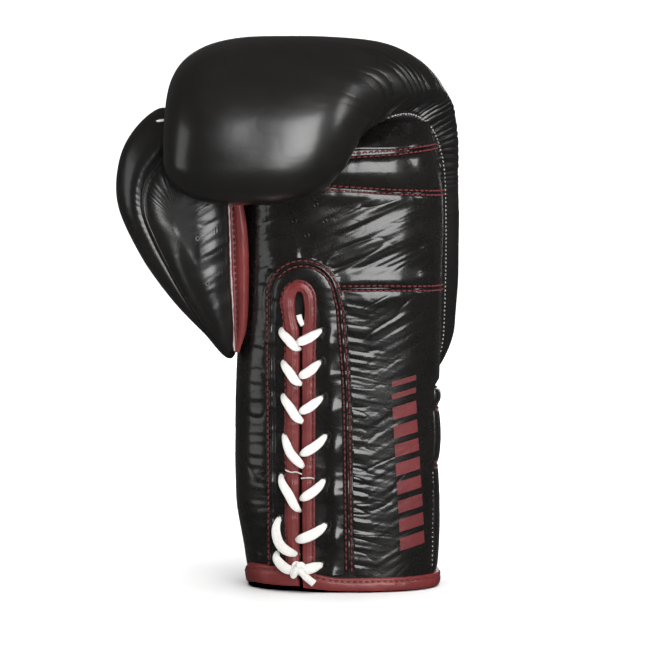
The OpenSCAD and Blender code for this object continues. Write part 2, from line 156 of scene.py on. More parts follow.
def smooth_line(points, count):
    """count evenly spaced points along a smooth curve through a chain of points."""
    p = np.array(points, float)
    at = lengths(p)
    s = np.linspace(0, at[-1], 12 * len(p))
    return polyline(np.stack([through(np.stack([at, c], axis=1), s) for c in p.T], axis=-1), count)


def noise(points, size, seed=0):
    """Smooth random field between -1 and 1 with features about size millimetres across."""
    q = np.asarray(points, float) / np.asarray(size, float) + 17.3 * seed
    cell = np.floor(q)
    f = q - cell
    f = f * f * (3 - 2 * f)
    total = 0.0
    for corner in itertools.product((0, 1), repeat=3):
        c = np.array(corner, float)
        wave = np.sin((cell + c) @ np.array([12.9898, 78.233, 37.719])) * 43758.5453
        weight = np.prod(np.where(c > 0, f, 1 - f), axis=-1)
        total = total + weight * (2 * (wave - np.floor(wave)) - 1)
    return total


def creases(points, size, seed=0, sharp=0.5):
    """Valleys along random lines: 0 between them, down to -1 in the bottom of a crease."""
    return -np.clip(1 - np.abs(noise(points, size, seed)) / (1 - sharp + 0.02), 0, 1) ** 2


def groove(distance, width):
    return -np.exp(-(distance / width) ** 2)


# ---------------------------------------------------------------- the sleeve: oval tube of cuff and palm
def sleeve_mid(z):
    return through([[0, .5], [20, -1], [50, -3.3], [110, -3], [170, -1], [PALM_TOP, 0]], z)


def sleeve_a(z):
    return SLEEVE_W / 2 + through([[0, -4], [20, -2.3], [50, .2], [110, .6], [170, 0], [GRIP_LOW_Z, -.5],
                                   [PALM_TOP, -8]], z)


def palm_depth(z):
    return SLEEVE_D / 2 + through([[0, 1], [110, -1.5], [170, -.5], [GRIP_LOW_Z, -1.5], [235, 1.5],
                                   [GRIP_HIGH_Z, -3], [PALM_TOP, -17]], z)


def back_depth(z):
    return SLEEVE_D / 2 + through([[0, 1], [80, -1], [WRIST_Z, -3]], z)


def sleeve(angle, z, inset=0.0):
    """Point on the sleeve; angle 270 is the middle of the palm side."""
    angle, z = np.broadcast_arrays(np.radians(angle), np.asarray(z, float))
    c, s = spow(np.cos(angle), .8), spow(np.sin(angle), .8)
    d = np.where(s < 0, palm_depth(z), back_depth(z))
    return xyz(sleeve_mid(z) + (sleeve_a(z) - inset) * c, (d - inset) * s, z)


def palm_angle(x, z):
    u = np.clip((x - sleeve_mid(z)) / sleeve_a(z), -1, 1)
    return 270 + np.degrees(np.arcsin(spow(u, 1.25)))


def on_palm(x, z, out=0.0):
    x, z = np.broadcast_arrays(np.asarray(x, float), np.asarray(z, float))
    p = sleeve(palm_angle(x, z), z)
    return xyz(x, p[..., 1] - out, z)


def palm_normal(x, z):
    """Outward normal of the palm side."""
    dx = on_palm(x + .5, z) - on_palm(x - .5, z)
    dz = on_palm(x, z + .5) - on_palm(x, z - .5)
    return unit(np.cross(dx, dz))


def before_palm(x, z, out):
    """Points straight in front of the palm side, and its normals there."""
    return on_palm(x, z, out), palm_normal(x, z)


def off_palm(x, z, out):
    """Points at a distance out from the palm side, and its normals there."""
    n = palm_normal(x, z)
    return on_palm(x, z) + n * np.asarray(out, float)[..., None], n


# ---------------------------------------------------------------- mitt padding: D-shaped section over the fold
def turn(q):
    return np.pi * np.clip(q - 1, 0, 1)


def base_at(q):
    up = mix(WRIST_Z, FOLD_Z, q)
    down = mix(FOLD_Z, TIP_Z, q - 2)
    z = np.where(q < 1, up, np.where(q > 2, down, FOLD_Z + FOLD_R * np.sin(turn(q))))
    return FOLD_Y + FOLD_R * np.cos(turn(q)), z


def thick(q):
    return PAD_T * through([[0, .72], [.3, .84], [1, .98], [1.45, 1], [1.8, .9], [2, .84], [2.5, .86]],
                           np.minimum(q, 2))


RIGHT_BASE = [[0, 46], [.07, 52], [.2, 55], [1, 55], [1.17, 52], [1.33, 45], [1.5, 34], [1.75, 15], [2, -2],
              [2.35, -8], [2.65, -16], [2.85, -28], [3, -42]]
RIGHT_SIDE = [[0, 50], [.07, 59], [.25, 66.5], [1, 69], [1.17, 67.5], [1.33, 63], [1.5, 53], [1.75, 20], [2, 3],
              [2.35, -3], [2.65, -11], [2.85, -23], [3, -40]]
LEFT_BASE = [[0, -42], [.07, -52], [.2, -57], [.6, -68], [1, -79], [1.5, -88], [2, -90], [2.35, -88], [2.65, -82],
             [2.85, -74], [3, -66]]
LEFT_SIDE = [[0, -44], [.07, -56], [.25, -64], [.6, -76], [1, -88], [1.5, -97], [2, -99], [2.35, -96], [2.65, -90],
             [2.85, -81], [3, -69]]


TIP_SHARE = (FOLD_Z - TIP_Z) / (math.pi * (FOLD_R + .84 * PAD_T))


def evenly(q):
    """Station as a length over the crown, so that outlines stay smooth where the roll straightens."""
    return np.where(q > 2, 2 + (q - 2) * TIP_SHARE, q)


def outline_at(knots, q):
    k = np.array(knots, float)
    k[:, 0] = evenly(k[:, 0])
    return through(k, evenly(q))


def end_round(q):
    start = np.sqrt(np.clip(1 - (1 - q / .12) ** 2, .0004, 1))
    tip = np.clip(1 - np.clip(q - 2, 0, 1) ** 2.5, .0004, 1) ** .5
    return np.where(q < .12, start, np.where(q > 2, tip, 1))


def lifted(q, x, n):
    """A point x across and n above the padding's inner face."""
    y, z = base_at(q)
    out = thick(q) * (1 - end_round(q)) * np.where(q > 2, .42, .5) + n
    return xyz(x, y + out * np.cos(turn(q)), z + out * np.sin(turn(q)))


def pad(q, angle):
    """A point of the padding's skin: angle 0 is the little-finger side, 90 the crown, 180 the thumb side."""
    q, a = np.broadcast_arrays(np.asarray(q, float), np.radians(angle))
    right = np.cos(a) > 0
    rs, ls = outline_at(RIGHT_SIDE, q), outline_at(LEFT_SIDE, q)
    middle = mix(rs, ls, .55)
    sn = np.abs(np.sin(a)) ** np.where(right, .9, .7)
    cs = np.abs(np.cos(a)) ** .6
    tuck = 1 - ease(sn / .35)
    side = np.where(right, mix(rs, outline_at(RIGHT_BASE, q), tuck), mix(ls, outline_at(LEFT_BASE, q), tuck))
    x = middle + (side - middle) * cs
    return lifted(q, x, thick(q) * end_round(q) * sn)


# ---------------------------------------------------------------- thumb: a cushion on its outline
THUMB_OUTLINE = np.array([[-61.5, 131], [-78, 143], [-97, 163], [-115, 189], [-127, 219], [-123, 247],
                          [-103, 269], [-86, 262], [-70, 248], [-63, 222], [-62, 178]], float)
THUMB_WRAP = [[0, -8], [.12, -42], [.25, -60], [.45, -62], [.6, -56], [.72, -20], [1, -8]]


def loop_at(points, t):
    """Smooth closed curve through points, for t from 0 to 1."""
    n = len(points)
    s = np.asarray(t, float) % 1 * n
    i = np.floor(s).astype(int) % n
    u = (s - np.floor(s))[..., None]
    a, b, c, d = (points[(i + k) % n] for k in (-1, 0, 1, 2))
    return b + u * .5 * ((c - a) + u * ((2 * a - 5 * b + 4 * c - d) + u * (3 * b - a - 3 * c + d)))


def thumb(t, lean):
    """Lean runs from -90 in the middle of the palm side to 90 in the middle of the back."""
    t, a = np.broadcast_arrays(np.asarray(t, float), np.radians(lean))
    r = np.abs(np.cos(a)) ** .62
    h = np.where(a < 0, THUMB_FRONT, THUMB_BACK)
    c = THUMB_MID + r[..., None] * (loop_at(THUMB_OUTLINE, t) - THUMB_MID)
    return xyz(c[..., 0], THUMB_Y + h * spow(np.sin(a), .8), c[..., 1])


# ---------------------------------------------------------------- meshes from grids of points
def normals(grid, closed=False):
    """Unit normals of a grid: across its columns times along its rows."""
    if closed:
        across = np.roll(grid, -1, axis=1) - np.roll(grid, 1, axis=1)
    else:
        across = np.gradient(grid, axis=1)
    return unit(np.cross(across, np.gradient(grid, axis=0)))


def raised(grid, height):
    return grid + normals(grid) * np.asarray(height)[..., None]


def grid_quads(rows, cols, closed, start=0, flip=False):
    """Quads of a grid, and the grid place of each of their corners."""
    i, j = np.meshgrid(np.arange(rows - 1), np.arange(cols if closed else cols - 1), indexing="ij")
    corners = [(i, j), (i, j + 1), (i + 1, j + 1), (i + 1, j)]
    if flip:
        corners = corners[::-1]
    quads = np.stack([start + a * cols + b % cols for a, b in corners], axis=-1).reshape(-1, 4)
    places = np.stack([np.stack([b, a], axis=-1) for a, b in corners], axis=-2).reshape(-1, 4, 2)
    return quads, places


def build(name, verts, faces, uvs, materials, face_material=None, sharp=None):
    """A mesh object. faces is a list of index arrays of one width each, uvs their corners in 100 mm units."""
    mesh = bpy.data.meshes.new(name)
    mesh.vertices.add(len(verts))
    mesh.vertices.foreach_set("co", place(verts).astype(np.float32).ravel())
    counts = np.concatenate([np.full(len(f), f.shape[1]) for f in faces])
    mesh.loops.add(int(counts.sum()))
    mesh.loops.foreach_set("vertex_index", np.concatenate([f.ravel() for f in faces]).astype(np.int32))
    mesh.polygons.add(len(counts))
    mesh.polygons.foreach_set("loop_start", np.concatenate([[0], np.cumsum(counts)[:-1]]).astype(np.int32))
    mesh.update(calc_edges=True)
    mesh.uv_layers.new(name="UVMap").data.foreach_set(
        "uv", np.concatenate([u.reshape(-1, 2) for u in uvs]).astype(np.float32).ravel())
    if face_material is not None:
        mesh.polygons.foreach_set("material_index", np.asarray(face_material, np.int32))
    mesh.shade_smooth()
    if sharp is not None:
        ends = np.zeros(2 * len(mesh.edges), np.int32)
        mesh.edges.foreach_get("vertices", ends)
        hard = sharp[ends.reshape(-1, 2)].all(axis=1)
        mesh.attributes.new("sharp_edge", "BOOLEAN", "EDGE").data.foreach_set("value", hard)
    mesh.validate()
    for m in materials:
        mesh.materials.append(m)
    obj = bpy.data.objects.new(name, mesh)
    bpy.context.scene.collection.objects.link(obj)
    return obj


def grid_uv(grid, places):
    """Corner places as lengths over the grid, in 100 mm units."""
    wide = np.linalg.norm(np.diff(grid, axis=1), axis=-1).sum(axis=1).max()
    tall = np.linalg.norm(np.diff(grid, axis=0), axis=-1).sum(axis=0).max()
    return places * np.array([wide / (grid.shape[1] - 1), tall / (grid.shape[0] - 1)]) / 100


def sheet(name, outer, material, thick_mm=LEATHER, outward=None, inner=None, closed=False, edge_round=0.0):
    """A closed sheet of leather or cloth under a grid of points. outward tells the outside where the grid's
    own winding may not."""
    rows, cols = outer.shape[:2]
    n = normals(outer, closed)
    flip = outward is not None and (n * np.asarray(outward, float)).sum() < 0
    if flip:
        n = -n
    if inner is None:
        inner = outer - n * thick_mm
    if edge_round and not closed:
        for k in range(2):
            drop = edge_round * (.65, .18)[k]
            for edge in ((k, slice(None)), (-1 - k, slice(None)), (slice(None), k), (slice(None), -1 - k)):
                outer = outer.copy()
                outer[edge] = outer[edge] - n[edge] * drop
    count = rows * cols
    verts = np.concatenate([outer.reshape(-1, 3), inner.reshape(-1, 3)])
    top, places = grid_quads(rows, cols, closed, 0, flip)
    under, under_places = grid_quads(rows, cols, closed, count, not flip)
    index = np.arange(count).reshape(rows, cols)
    if closed:
        loops = [np.append(index[0], index[0, 0]), np.append(index[-1], index[-1, 0])[::-1]]
    else:
        loops = [np.concatenate([index[0], index[1:, -1], index[-1, -2::-1], index[-2::-1, 0]])]
    rims = [np.stack([b + count, b, a, a + count][::(1 if flip else -1)], axis=-1)
            for a, b in ((loop[:-1], loop[1:]) for loop in loops)]
    rim = np.concatenate(rims)
    rim_uv = np.tile(np.array([[0, 0], [0, .014], [.014, .014], [.014, 0]]), (len(rim), 1, 1))
    sharp = np.zeros(2 * count, bool)
    border = np.unique(np.concatenate(loops))
    sharp[border] = True
    sharp[border + count] = True
    return build(name, verts, [top, under, rim], [grid_uv(outer, places), grid_uv(inner, under_places), rim_uv],
                 [material], sharp=sharp)


def loft(name, rings, materials, column_material=None, hard_columns=()):
    """A closed solid through closed rings, with flat ends."""
    rows, cols = rings.shape[:2]
    verts = np.concatenate([rings.reshape(-1, 3), rings[:1].mean(axis=1), rings[-1:].mean(axis=1)])
    quads, places = grid_quads(rows, cols, True)
    j = np.arange(cols)
    k = (j + 1) % cols
    low = np.stack([k, j, np.full(cols, rows * cols)], axis=-1)
    high = np.stack([(rows - 1) * cols + j, (rows - 1) * cols + k, np.full(cols, rows * cols + 1)], axis=-1)
    tri_uv = np.tile(np.array([[0, 0], [.01, 0], [.005, .01]]), (2 * cols, 1, 1))
    face_material = None
    if column_material is not None:
        face_material = np.concatenate([column_material.ravel(), np.zeros(2 * cols, int)])
    sharp = None
    if len(hard_columns):
        sharp = np.zeros(len(verts), bool)
        for c in hard_columns:
            sharp[c::cols][:rows] = True
    return build(name, verts, [quads, np.concatenate([low, high])], [grid_uv(rings, places), tri_uv], materials,
                 face_material, sharp)


def tube_rings(path, width, height, up, sides=10):
    """Rings of a flattened tube along a path; up is roughly the direction of its thin side."""
    path = np.asarray(path, float)
    along = unit(np.gradient(path, axis=0))
    up = np.broadcast_to(np.asarray(up, float), path.shape)
    side = unit(np.cross(along, up))
    top = np.cross(side, along)
    a = np.linspace(0, 2 * np.pi, sides, endpoint=False)
    w = np.broadcast_to(np.asarray(width, float), len(path))[:, None, None] / 2
    h = np.broadcast_to(np.asarray(height, float), len(path))[:, None, None] / 2
    return (path[:, None] + w * spow(np.cos(a), .8)[None, :, None] * side[:, None]
            + h * spow(np.sin(a), .8)[None, :, None] * top[:, None])


def many_tubes(name, groups, material, width, height, sides=8):
    """One object from several tubes, each given as a path and its up directions."""
    verts, quads, tris, uvs, tri_uvs, start = [], [], [], [], [], 0
    for path, up in groups:
        rings = tube_rings(path, width, height, up, sides)
        rows = len(rings)
        q, places = grid_quads(rows, sides, True, start)
        a, b = start + rows * sides, start + rows * sides + 1
        j = np.arange(sides)
        k = (j + 1) % sides
        last = start + (rows - 1) * sides
        verts += [rings.reshape(-1, 3), rings[:1].mean(axis=1), rings[-1:].mean(axis=1)]
        quads.append(q)
        uvs.append(grid_uv(rings, places))
        tris += [np.stack([k + start, j + start, np.full(sides, a)], -1),
                 np.stack([j + last, k + last, np.full(sides, b)], -1)]
        tri_uvs.append(np.zeros((2 * sides, 3, 2)))
        start += rows * sides + 2
    return build(name, np.concatenate(verts), [np.concatenate(quads), np.concatenate(tris)],
                 [np.concatenate(uvs), np.concatenate(tri_uvs)], [material])


def stitches(name, lines, material, pitch=3.4, long=2.3, width=1.0, rise=.5):
    """Rows of thread stitches. Each line is a list of points and outward normals over the surface."""
    groups = []
    for points, outs in lines:
        at = lengths(points)
        for k in range(max(1, int(at[-1] / pitch))):
            middle = (k + .5) * pitch + .18 * math.sin(12.7 * k)
            s = middle + long * np.array([-.5, -.38, -.2, 0, .2, .38, .5])
            if s[-1] > at[-1] or s[0] < 0:
                continue
            p, n = sample(points, at, s), sample(outs, at, s)
            lift = rise * np.array([-1.2, -.1, .8, 1, .8, -.1, -1.2])[:, None]
            groups.append((p + n * lift, n))
    return many_tubes(name, groups, material, width, .75 * width, sides=6)


def palm_stitch_line(xz, out):
    """Stitch points and normals along a line of (x, z) places on the palm side."""
    return off_palm(*polyline(xz, max(8, int(lengths(xz)[-1] / 2))).T, out)


def palm_sheet(name, x, z, out, under, material):
    """A sheet on the palm side, from under below its smooth form to out above it."""
    return sheet(name, off_palm(x, z, out)[0], material, outward=TO_FRONT, inner=off_palm(x, z, -under)[0])


# ---------------------------------------------------------------- materials
class Nodes:
    """Short names for building a node tree."""

    def __init__(self, name):
        self.material = bpy.data.materials.new(name)
        self.material.use_nodes = True
        self.tree = self.material.node_tree
        self.shader = self.tree.nodes["Principled BSDF"]

    def add(self, kind, **values):
        node = self.tree.nodes.new(kind)
        for key, value in values.items():
            if hasattr(node, key):
                setattr(node, key, value)
            else:
                node.inputs[key.replace("_", " ")].default_value = value
        return node

    def link(self, a, b):
        self.tree.links.new(a, b)

    def texture(self, kind, source, size_mm, **values):
        """A texture whose features are about size_mm across."""
        node = self.add(kind, **values)
        node.inputs["Scale"].default_value = 1000.0 / size_mm
        self.link(source, node.inputs["Vector"])
        return node

    def here(self):
        """Place in the glove, in metres."""
        return self.add("ShaderNodeTexCoord").outputs["Object"]

    def clouds(self, source, size_mm, **values):
        return self.texture("ShaderNodeTexNoise", source, size_mm, **values).outputs["Fac"]

    def math(self, operation, *values):
        node = self.add("ShaderNodeMath", operation=operation)
        for value, socket in zip(values, node.inputs):
            if isinstance(value, (int, float)):
                socket.default_value = value
            else:
                self.link(value, socket)
        return node.outputs[0]

    def ramp(self, value, stops):
        node = self.add("ShaderNodeValToRGB")
        elements = node.color_ramp.elements
        while len(elements) < len(stops):
            elements.new(.5)
        for element, (at, colour) in zip(elements, stops):
            element.position = at
            element.color = (*colour, 1) if len(colour) == 3 else (colour[0],) * 3 + (1,)
        self.link(value, node.inputs["Fac"])
        return node.outputs["Color"]

    def bump(self, height, distance_mm, strength=1.0, before=None):
        node = self.add("ShaderNodeBump", Strength=strength, Distance=distance_mm / 1000)
        self.link(height, node.inputs["Height"])
        if before is not None:
            self.link(before, node.inputs["Normal"])
        return node.outputs["Normal"]

    def finish(self, **sockets):
        for key, value in sockets.items():
            socket = self.shader.inputs[key.replace("_", " ")]
            if isinstance(value, (int, float, tuple)):
                socket.default_value = value
            else:
                self.link(value, socket)
        return self.material


def leather(name, dark, base, light, rough, grain_mm=1.1, grain_depth=.05, wrinkle_depth=.18, coat=.35,
            coat_rough=.16):
    """Glazed cowhide: pebbled pores, fine creases and a worn, uneven polish."""
    n = Nodes(name)
    at = n.here()
    patches = n.clouds(at, 38, Detail=4.0, Roughness=.6)
    colour = n.ramp(patches, [(.25, dark), (.55, base), (.85, light)])
    smear = n.clouds(at, 9, Detail=5.0, Roughness=.7, Distortion=.6)
    polish = n.ramp(smear, [(.2, (rough[0],)), (.8, (rough[1],))])
    pebble = n.texture("ShaderNodeTexVoronoi", at, grain_mm, feature="SMOOTH_F1").outputs["Distance"]
    lines = n.clouds(at, 5.5, Detail=3.0, Roughness=.55, Distortion=1.2)
    fold = n.math("ABSOLUTE", n.math("SUBTRACT", lines, .5))
    soft = n.math("SMOOTH_MIN", fold, .06)
    first = n.bump(pebble, grain_depth * 2)
    normal = n.bump(soft, wrinkle_depth * 8, .5, first)
    return n.finish(Base_Color=colour, Roughness=polish, Normal=normal, Specular_IOR_Level=.35,
                    Coat_Weight=coat, Coat_Roughness=coat_rough)


def woven(name, dark, light, pitch_mm):
    """Plain weave, over and under in both directions."""
    n = Nodes(name)
    at = n.here()
    split = n.add("ShaderNodeSeparateXYZ")
    n.link(at, split.inputs[0])
    k = 2 * math.pi * 1000 / pitch_mm
    side = n.math("SINE", n.math("MULTIPLY", n.math("ADD", split.outputs["X"], split.outputs["Y"]), k))
    tall = n.math("SINE", n.math("MULTIPLY", split.outputs["Z"], k))
    weave = n.math("MULTIPLY_ADD", n.math("MULTIPLY", side, tall), .5, .5)
    fuzz = n.clouds(at, 3, Detail=4.0)
    colour = n.ramp(n.math("MULTIPLY", n.math("ADD", weave, fuzz), .5), [(.2, dark), (.8, light)])
    return n.finish(Base_Color=colour, Roughness=.85, Normal=n.bump(weave, .12), Sheen_Weight=.04)


def braided(name, dark, light, pitch_mm, rough, depth, sheen=.25):
    """Threads crossing on the slant, along the mesh's own length."""
    n = Nodes(name)
    split = n.add("ShaderNodeSeparateXYZ")
    n.link(n.add("ShaderNodeUVMap", uv_map="UVMap").outputs["UV"], split.inputs[0])
    k = 2 * math.pi * 100 / pitch_mm
    u, v = (n.math("MULTIPLY", split.outputs[c], k) for c in "XY")
    one = n.math("SINE", n.math("ADD", u, v))
    two = n.math("SINE", n.math("SUBTRACT", u, v))
    cross = n.math("MAXIMUM", n.math("ABSOLUTE", one), n.math("ABSOLUTE", two))
    at = n.here()
    fuzz = n.clouds(at, 1.2, Detail=5.0, Roughness=.7)
    shade = n.math("MULTIPLY", n.math("ADD", cross, fuzz), .5)
    colour = n.ramp(shade, [(.3, dark), (.75, light)])
    return n.finish(Base_Color=colour, Roughness=rough, Normal=n.bump(shade, depth), Sheen_Weight=sheen)


BLACK_LEATHER = leather("black_leather", (.004, .0038, .0037), (.0065, .0058, .0054), (.011, .009, .008),
                        (.22, .34), grain_mm=.9, grain_depth=.025, wrinkle_depth=.03, coat=.7, coat_rough=.13)
SMOOTH_LEATHER = leather("black_padding_leather", (.004, .0037, .0036), (.006, .0053, .005), (.0105, .008, .007),
                         (.3, .42), grain_mm=.75, grain_depth=.02, wrinkle_depth=.015, coat=.95, coat_rough=.24)
TRIM_LEATHER = leather("maroon_leather", (.09, .012, .012), (.155, .023, .022), (.21, .04, .038), (.3, .48),
                       grain_mm=.9, coat=.25)
LACE_COTTON = braided("lace_cotton", (.42, .405, .38), (.78, .765, .73), 1.5, .85, .3)
THREAD = braided("maroon_thread", (.035, .004, .006), (.125, .018, .02), .9, .6, .1, 0)
PALE_THREAD = braided("pale_thread", (.22, .21, .2), (.48, .46, .44), .8, .6, .08)
VENT_RIM = leather("vent_rim", (.05, .05, .05), (.12, .12, .12), (.2, .2, .2), (.3, .5), grain_mm=.6, coat=.2)
LINING = woven("lining_cloth", (.006, .006, .007), (.022, .022, .024), .9)
DARK_THREAD = braided("dark_thread", (.012, .003, .004), (.05, .012, .013), .9, .6, .1, 0)
PRINT = leather("maroon_print", (.08, .01, .012), (.125, .018, .02), (.16, .032, .033), (.4, .55), grain_mm=1.2,
                coat=.1)

# ---------------------------------------------------------------- palm side: places of seams and facing
FACING_LEFT = [(-42.4, HEM_H + 2), (-43.3, 147), (-43.1, 163)]
FACING_ARCH_MID = (-22.0, 165.5)
FACING_ARCH_R = 21.2
FACING_RIGHT = [(-1.2, 170), (1.4, 159), (4.2, 123), (5, 107), (6.4, HEM_H + 2)]
SEAM_LOW = [(-15, 169.5), (20, 169.9), (57, 168.6)]
SEAM_GRIP_LOW = [(-52, 228.5), (-7, 225.8), (30, 223.2), (58, 221.8)]
SEAM_GRIP_HIGH = [(-10, 242.5), (3, 243.3), (30, 245), (54, 248)]


# Each row's left strand starts at a hole and dives into the slit; the right strand lies over its end.
LACE_LEFT = [((-34.2, 147.6), (-23.9, 136)), ((-33, 129.4), (-23.1, 116.3)), ((-33.2, 110.6), (-22, 95)),
             ((-33, 88), (-22, 69.4)), ((-34.5, 65.7), (-23.9, 45.4)), ((-35, 41.7), (-25, 20.5)),
             ((-36.4, 22.2), (-25.7, 12))]
LACE_RIGHT = [((-12.4, 146.8), (-25, 139.7)), ((-12.8, 129), (-23.5, 121)), ((-11.8, 109.3), (-23.4, 101)),
              ((-9.5, 87.5), (-23.4, 76.8)), ((-10.5, 62.5), (-23.4, 51.8)), ((-9.5, 37.5), (-25.7, 28.7)),
              ((-11.8, 15.7), (-23, 13))]


def facing_outline(count=150):
    """The facing's edge: up its thumb side, round the arch and down its finger side."""
    cx, cz = FACING_ARCH_MID
    arc = [(cx - FACING_ARCH_R * math.cos(a), cz + FACING_ARCH_R * math.sin(a))
           for a in np.linspace(.05, 2.92, 16)]
    return polyline(FACING_LEFT + arc + FACING_RIGHT, count)


def slit_half(z):
    return through([[0, .9], [146, .9], [151, 2.1], [158, 2.7], [164, 2.2], [168.5, .2]], z)


def slit_mid(z):
    return through([[0, -23], [60, -23.6], [120, -23.4], [150, -23.6], [170, -24.6]], z)


def bind_half(z, side):
    """Width of the binding on each side of the slit."""
    return through([[0, 8.2], [60, 8.6], [140, 9], [163, 10.2]], z) * (1.06 if side < 0 else .94)


SLIT_ANGLE = palm_angle(SLIT_X, 0.0)


def hem_lift(angle):
    """The hem rises towards the slit: all along the thumb side, and over a short way on the finger side."""
    a = np.asarray(angle, float) % 360
    thumb_side = 6.3 * ease((a - 172) / 34) * (a < SLIT_ANGLE)
    finger_side = 4.2 * (1 - ease((a - SLIT_ANGLE) / 24)) * (a >= SLIT_ANGLE)
    return thumb_side + finger_side


def hem_height(angle, up):
    """Height in the hem binding, up from 0 at its lower edge to 1 at its upper edge."""
    return hem_lift(angle) * (.4 + .6 * up) + HEM_H * up


def fine_wrinkles(p, amount=1.0):
    """Small creases and soft rolls that glove leather has everywhere."""
    return amount * (.5 * noise(p, (30, 30, 22), 1) + .16 * noise(p, (9, 9, 6), 2)
                     + .1 * creases(p, (14, 14, 7), 3, .85) + .05 * noise(p, (4, 4, 2.2), 4))


def palm_relief(x, z):
    """Height over the palm side's smooth form, in millimetres."""
    p = xyz(x, 0, z)
    h = .4 * fine_wrinkles(p)
    right = np.interp(z, [8, 107, 123, 159, 170], [6.4, 5, 4.2, 1.4, -1.2])
    from_seam = x - right
    fade = np.exp(-np.clip(from_seam, 0, None) / 9) * (from_seam > 0) * (z < 168)
    strong = through([[8, .4], [40, 1], [100, .7], [150, 1], [170, .4]], z)
    pucker = xyz(x * .28, 0, z + .18 * from_seam)
    h = h + fade * strong * (.62 * noise(pucker, (5, 5, 2.4), 5) + .3 * creases(pucker, (6, 6, 3.4), 6, .8)
                             + .16 * noise(pucker, (3.5, 5, 1.3), 25))
    for line, width, deep in ((SEAM_LOW, 1.5, .9), (SEAM_GRIP_LOW, 1.6, 1.0), (SEAM_GRIP_HIGH, 1.6, 1.0)):
        line = np.array(line)
        away = z - np.interp(x, line[:, 0], line[:, 1])
        over = ease((x - line[0, 0]) / 6 + 1)
        h = h + over * (deep * groove(away, width) + .5 * np.exp(-((away - 5) / 4) ** 2)
                        + .4 * np.exp(-((away + 5) / 4) ** 2))
        ruck = noise(xyz(x, 0, z * .25), (3.6, 5, 5), 7)
        h = h + over * .18 * ruck * np.exp(-(away / 6) ** 2)
    cx, cz = FACING_ARCH_MID
    from_arch = np.hypot(x - cx, z - cz) - FACING_ARCH_R
    round_arch = np.arctan2(z - cz, x - cx) * FACING_ARCH_R
    radial = noise(xyz(round_arch, 0, from_arch * .2), (2.8, 5, 2.8), 26)
    h = h + .55 * radial * np.exp(-np.clip(from_arch, 0, None) / 7) * (from_arch > 0) * ease((z - 158) / 10)
    beside = np.clip(-43 - x, 0, None)
    ruck_left = noise(xyz(x * .3, 0, z), (4, 5, 2.4), 27)
    h = h + .2 * ruck_left * np.exp(-beside / 6) * (x < -43) * ease((168 - z) / 8)
    slanted = xyz(x * .8 + z * .55, 0, z - x * .45)
    palm = ease((z - 174) / 8) * ease((222 - z) / 8)
    centre = np.exp(-((x - 6) / 34) ** 2)
    h = h + palm * (1.15 * centre * noise(slanted, (44, 5, 10), 8)
                    + .3 * creases(slanted, (46, 5, 8), 9, .8) * centre
                    + .3 * noise(slanted, (30, 5, 2.9), 17) * centre + .14 * noise(slanted, (22, 5, 1.7), 18)
                    + 1.0 * noise(p, (34, 5, 22), 10))
    heel = ease((168 - z) / 6) * ease((z - 112) / 30) * ease((x - 8) / 8)
    slant_cuff = xyz(x + z * .5, 0, z - x * .55)
    h = h + heel * (.6 * noise(slant_cuff, (30, 5, 12), 11)
                    + .22 * creases(slant_cuff, (30, 5, 8), 12, .8)
                    + .14 * noise(slant_cuff, (24, 5, 2.4), 19))
    low = ease((112 - z) / 20) * ease((x - 8) / 10)
    h = h + low * (.5 * noise(p, (16, 5, 46), 13) + .15 * creases(slant_cuff, (26, 5, 14), 14, .8)
                   + .1 * noise(slant_cuff, (18, 5, 2.6), 20))
    thumbward = ease((-40 - x) / 6)
    h = h + thumbward * (.4 * noise(slant_cuff, (14, 5, 20), 15) + .15 * creases(p, (10, 5, 26), 16, .8)
                         + .12 * noise(p, (10, 5, 2.6), 23))
    return h


def edge_value(edge, where):
    """A panel's edge is a number, or a function of the place along it."""
    return edge(where) if callable(edge) else edge


def sleeve_skin(name, z_low, z_high, angle_low, angle_high, rows, cols, edge_round=.5):
    """A leather panel on the sleeve between two edges, each a number or a function."""
    v = np.linspace(0, 1, rows)[:, None]
    u = np.linspace(0, 1, cols)[None, :]
    z_guess = mix(edge_value(z_low, 270), z_high, v) + 0 * u
    angle = mix(edge_value(angle_low, z_guess), edge_value(angle_high, z_guess), u) + 0 * v
    z = mix(edge_value(z_low, angle), z_high, v) + 0 * angle
    grid = sleeve(angle, z)
    return sheet(name, raised(grid, skin_relief(grid, z)), BLACK_LEATHER, edge_round=edge_round)


def skin_relief(grid, z):
    """Palm-side relief in front, plain creases round the sides."""
    front = ease((-4 - grid[..., 1]) / 14)
    return front * palm_relief(grid[..., 0], z) + (1 - front) * fine_wrinkles(grid, .55)


def hem_top(angle):
    return hem_lift(angle) + HEM_H - .8


def bends_at_wrist(slot, *objects):
    for o in objects:
        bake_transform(o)


def rides(body, slot, *objects):
    for o in objects:
        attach(o, body)


# ---------------------------------------------------------------- cuff and palm skins
def slit_side(side):
    return lambda z: palm_angle(slit_mid(z) + side * 6.5, z)


thumb_side_skin = sleeve_skin("cuff_thumb_side_skin", hem_top, PALM_SEAM_Z, 172, slit_side(-1), 260, 110, 0)
SIDE_SEAM = 338.0


def finger_side_end(z):
    """The side panel stops at the back padding, and runs on behind the mitt above it."""
    return mix(SIDE_SEAM + 1.2, 367.5, ease((z - CUFF_TOP - .5) / 9))


finger_side_skin = sleeve_skin("cuff_finger_side_skin", hem_top, PALM_SEAM_Z, slit_side(1), finger_side_end, 460,
                               180)
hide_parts("cuff_thumb_side_leather", "cuff_thumb_side_foam", "heel_foam_thumb_side")
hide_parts("cuff_finger_side_leather", "cuff_finger_side_foam", "heel_foam_finger_side")


def edge_y(z):
    return np.where(z <= FOLD_Z, 9.5, FOLD_Y + np.sqrt(np.clip(FOLD_R ** 2 - (z - FOLD_Z) ** 2, 0, None)) + 1)


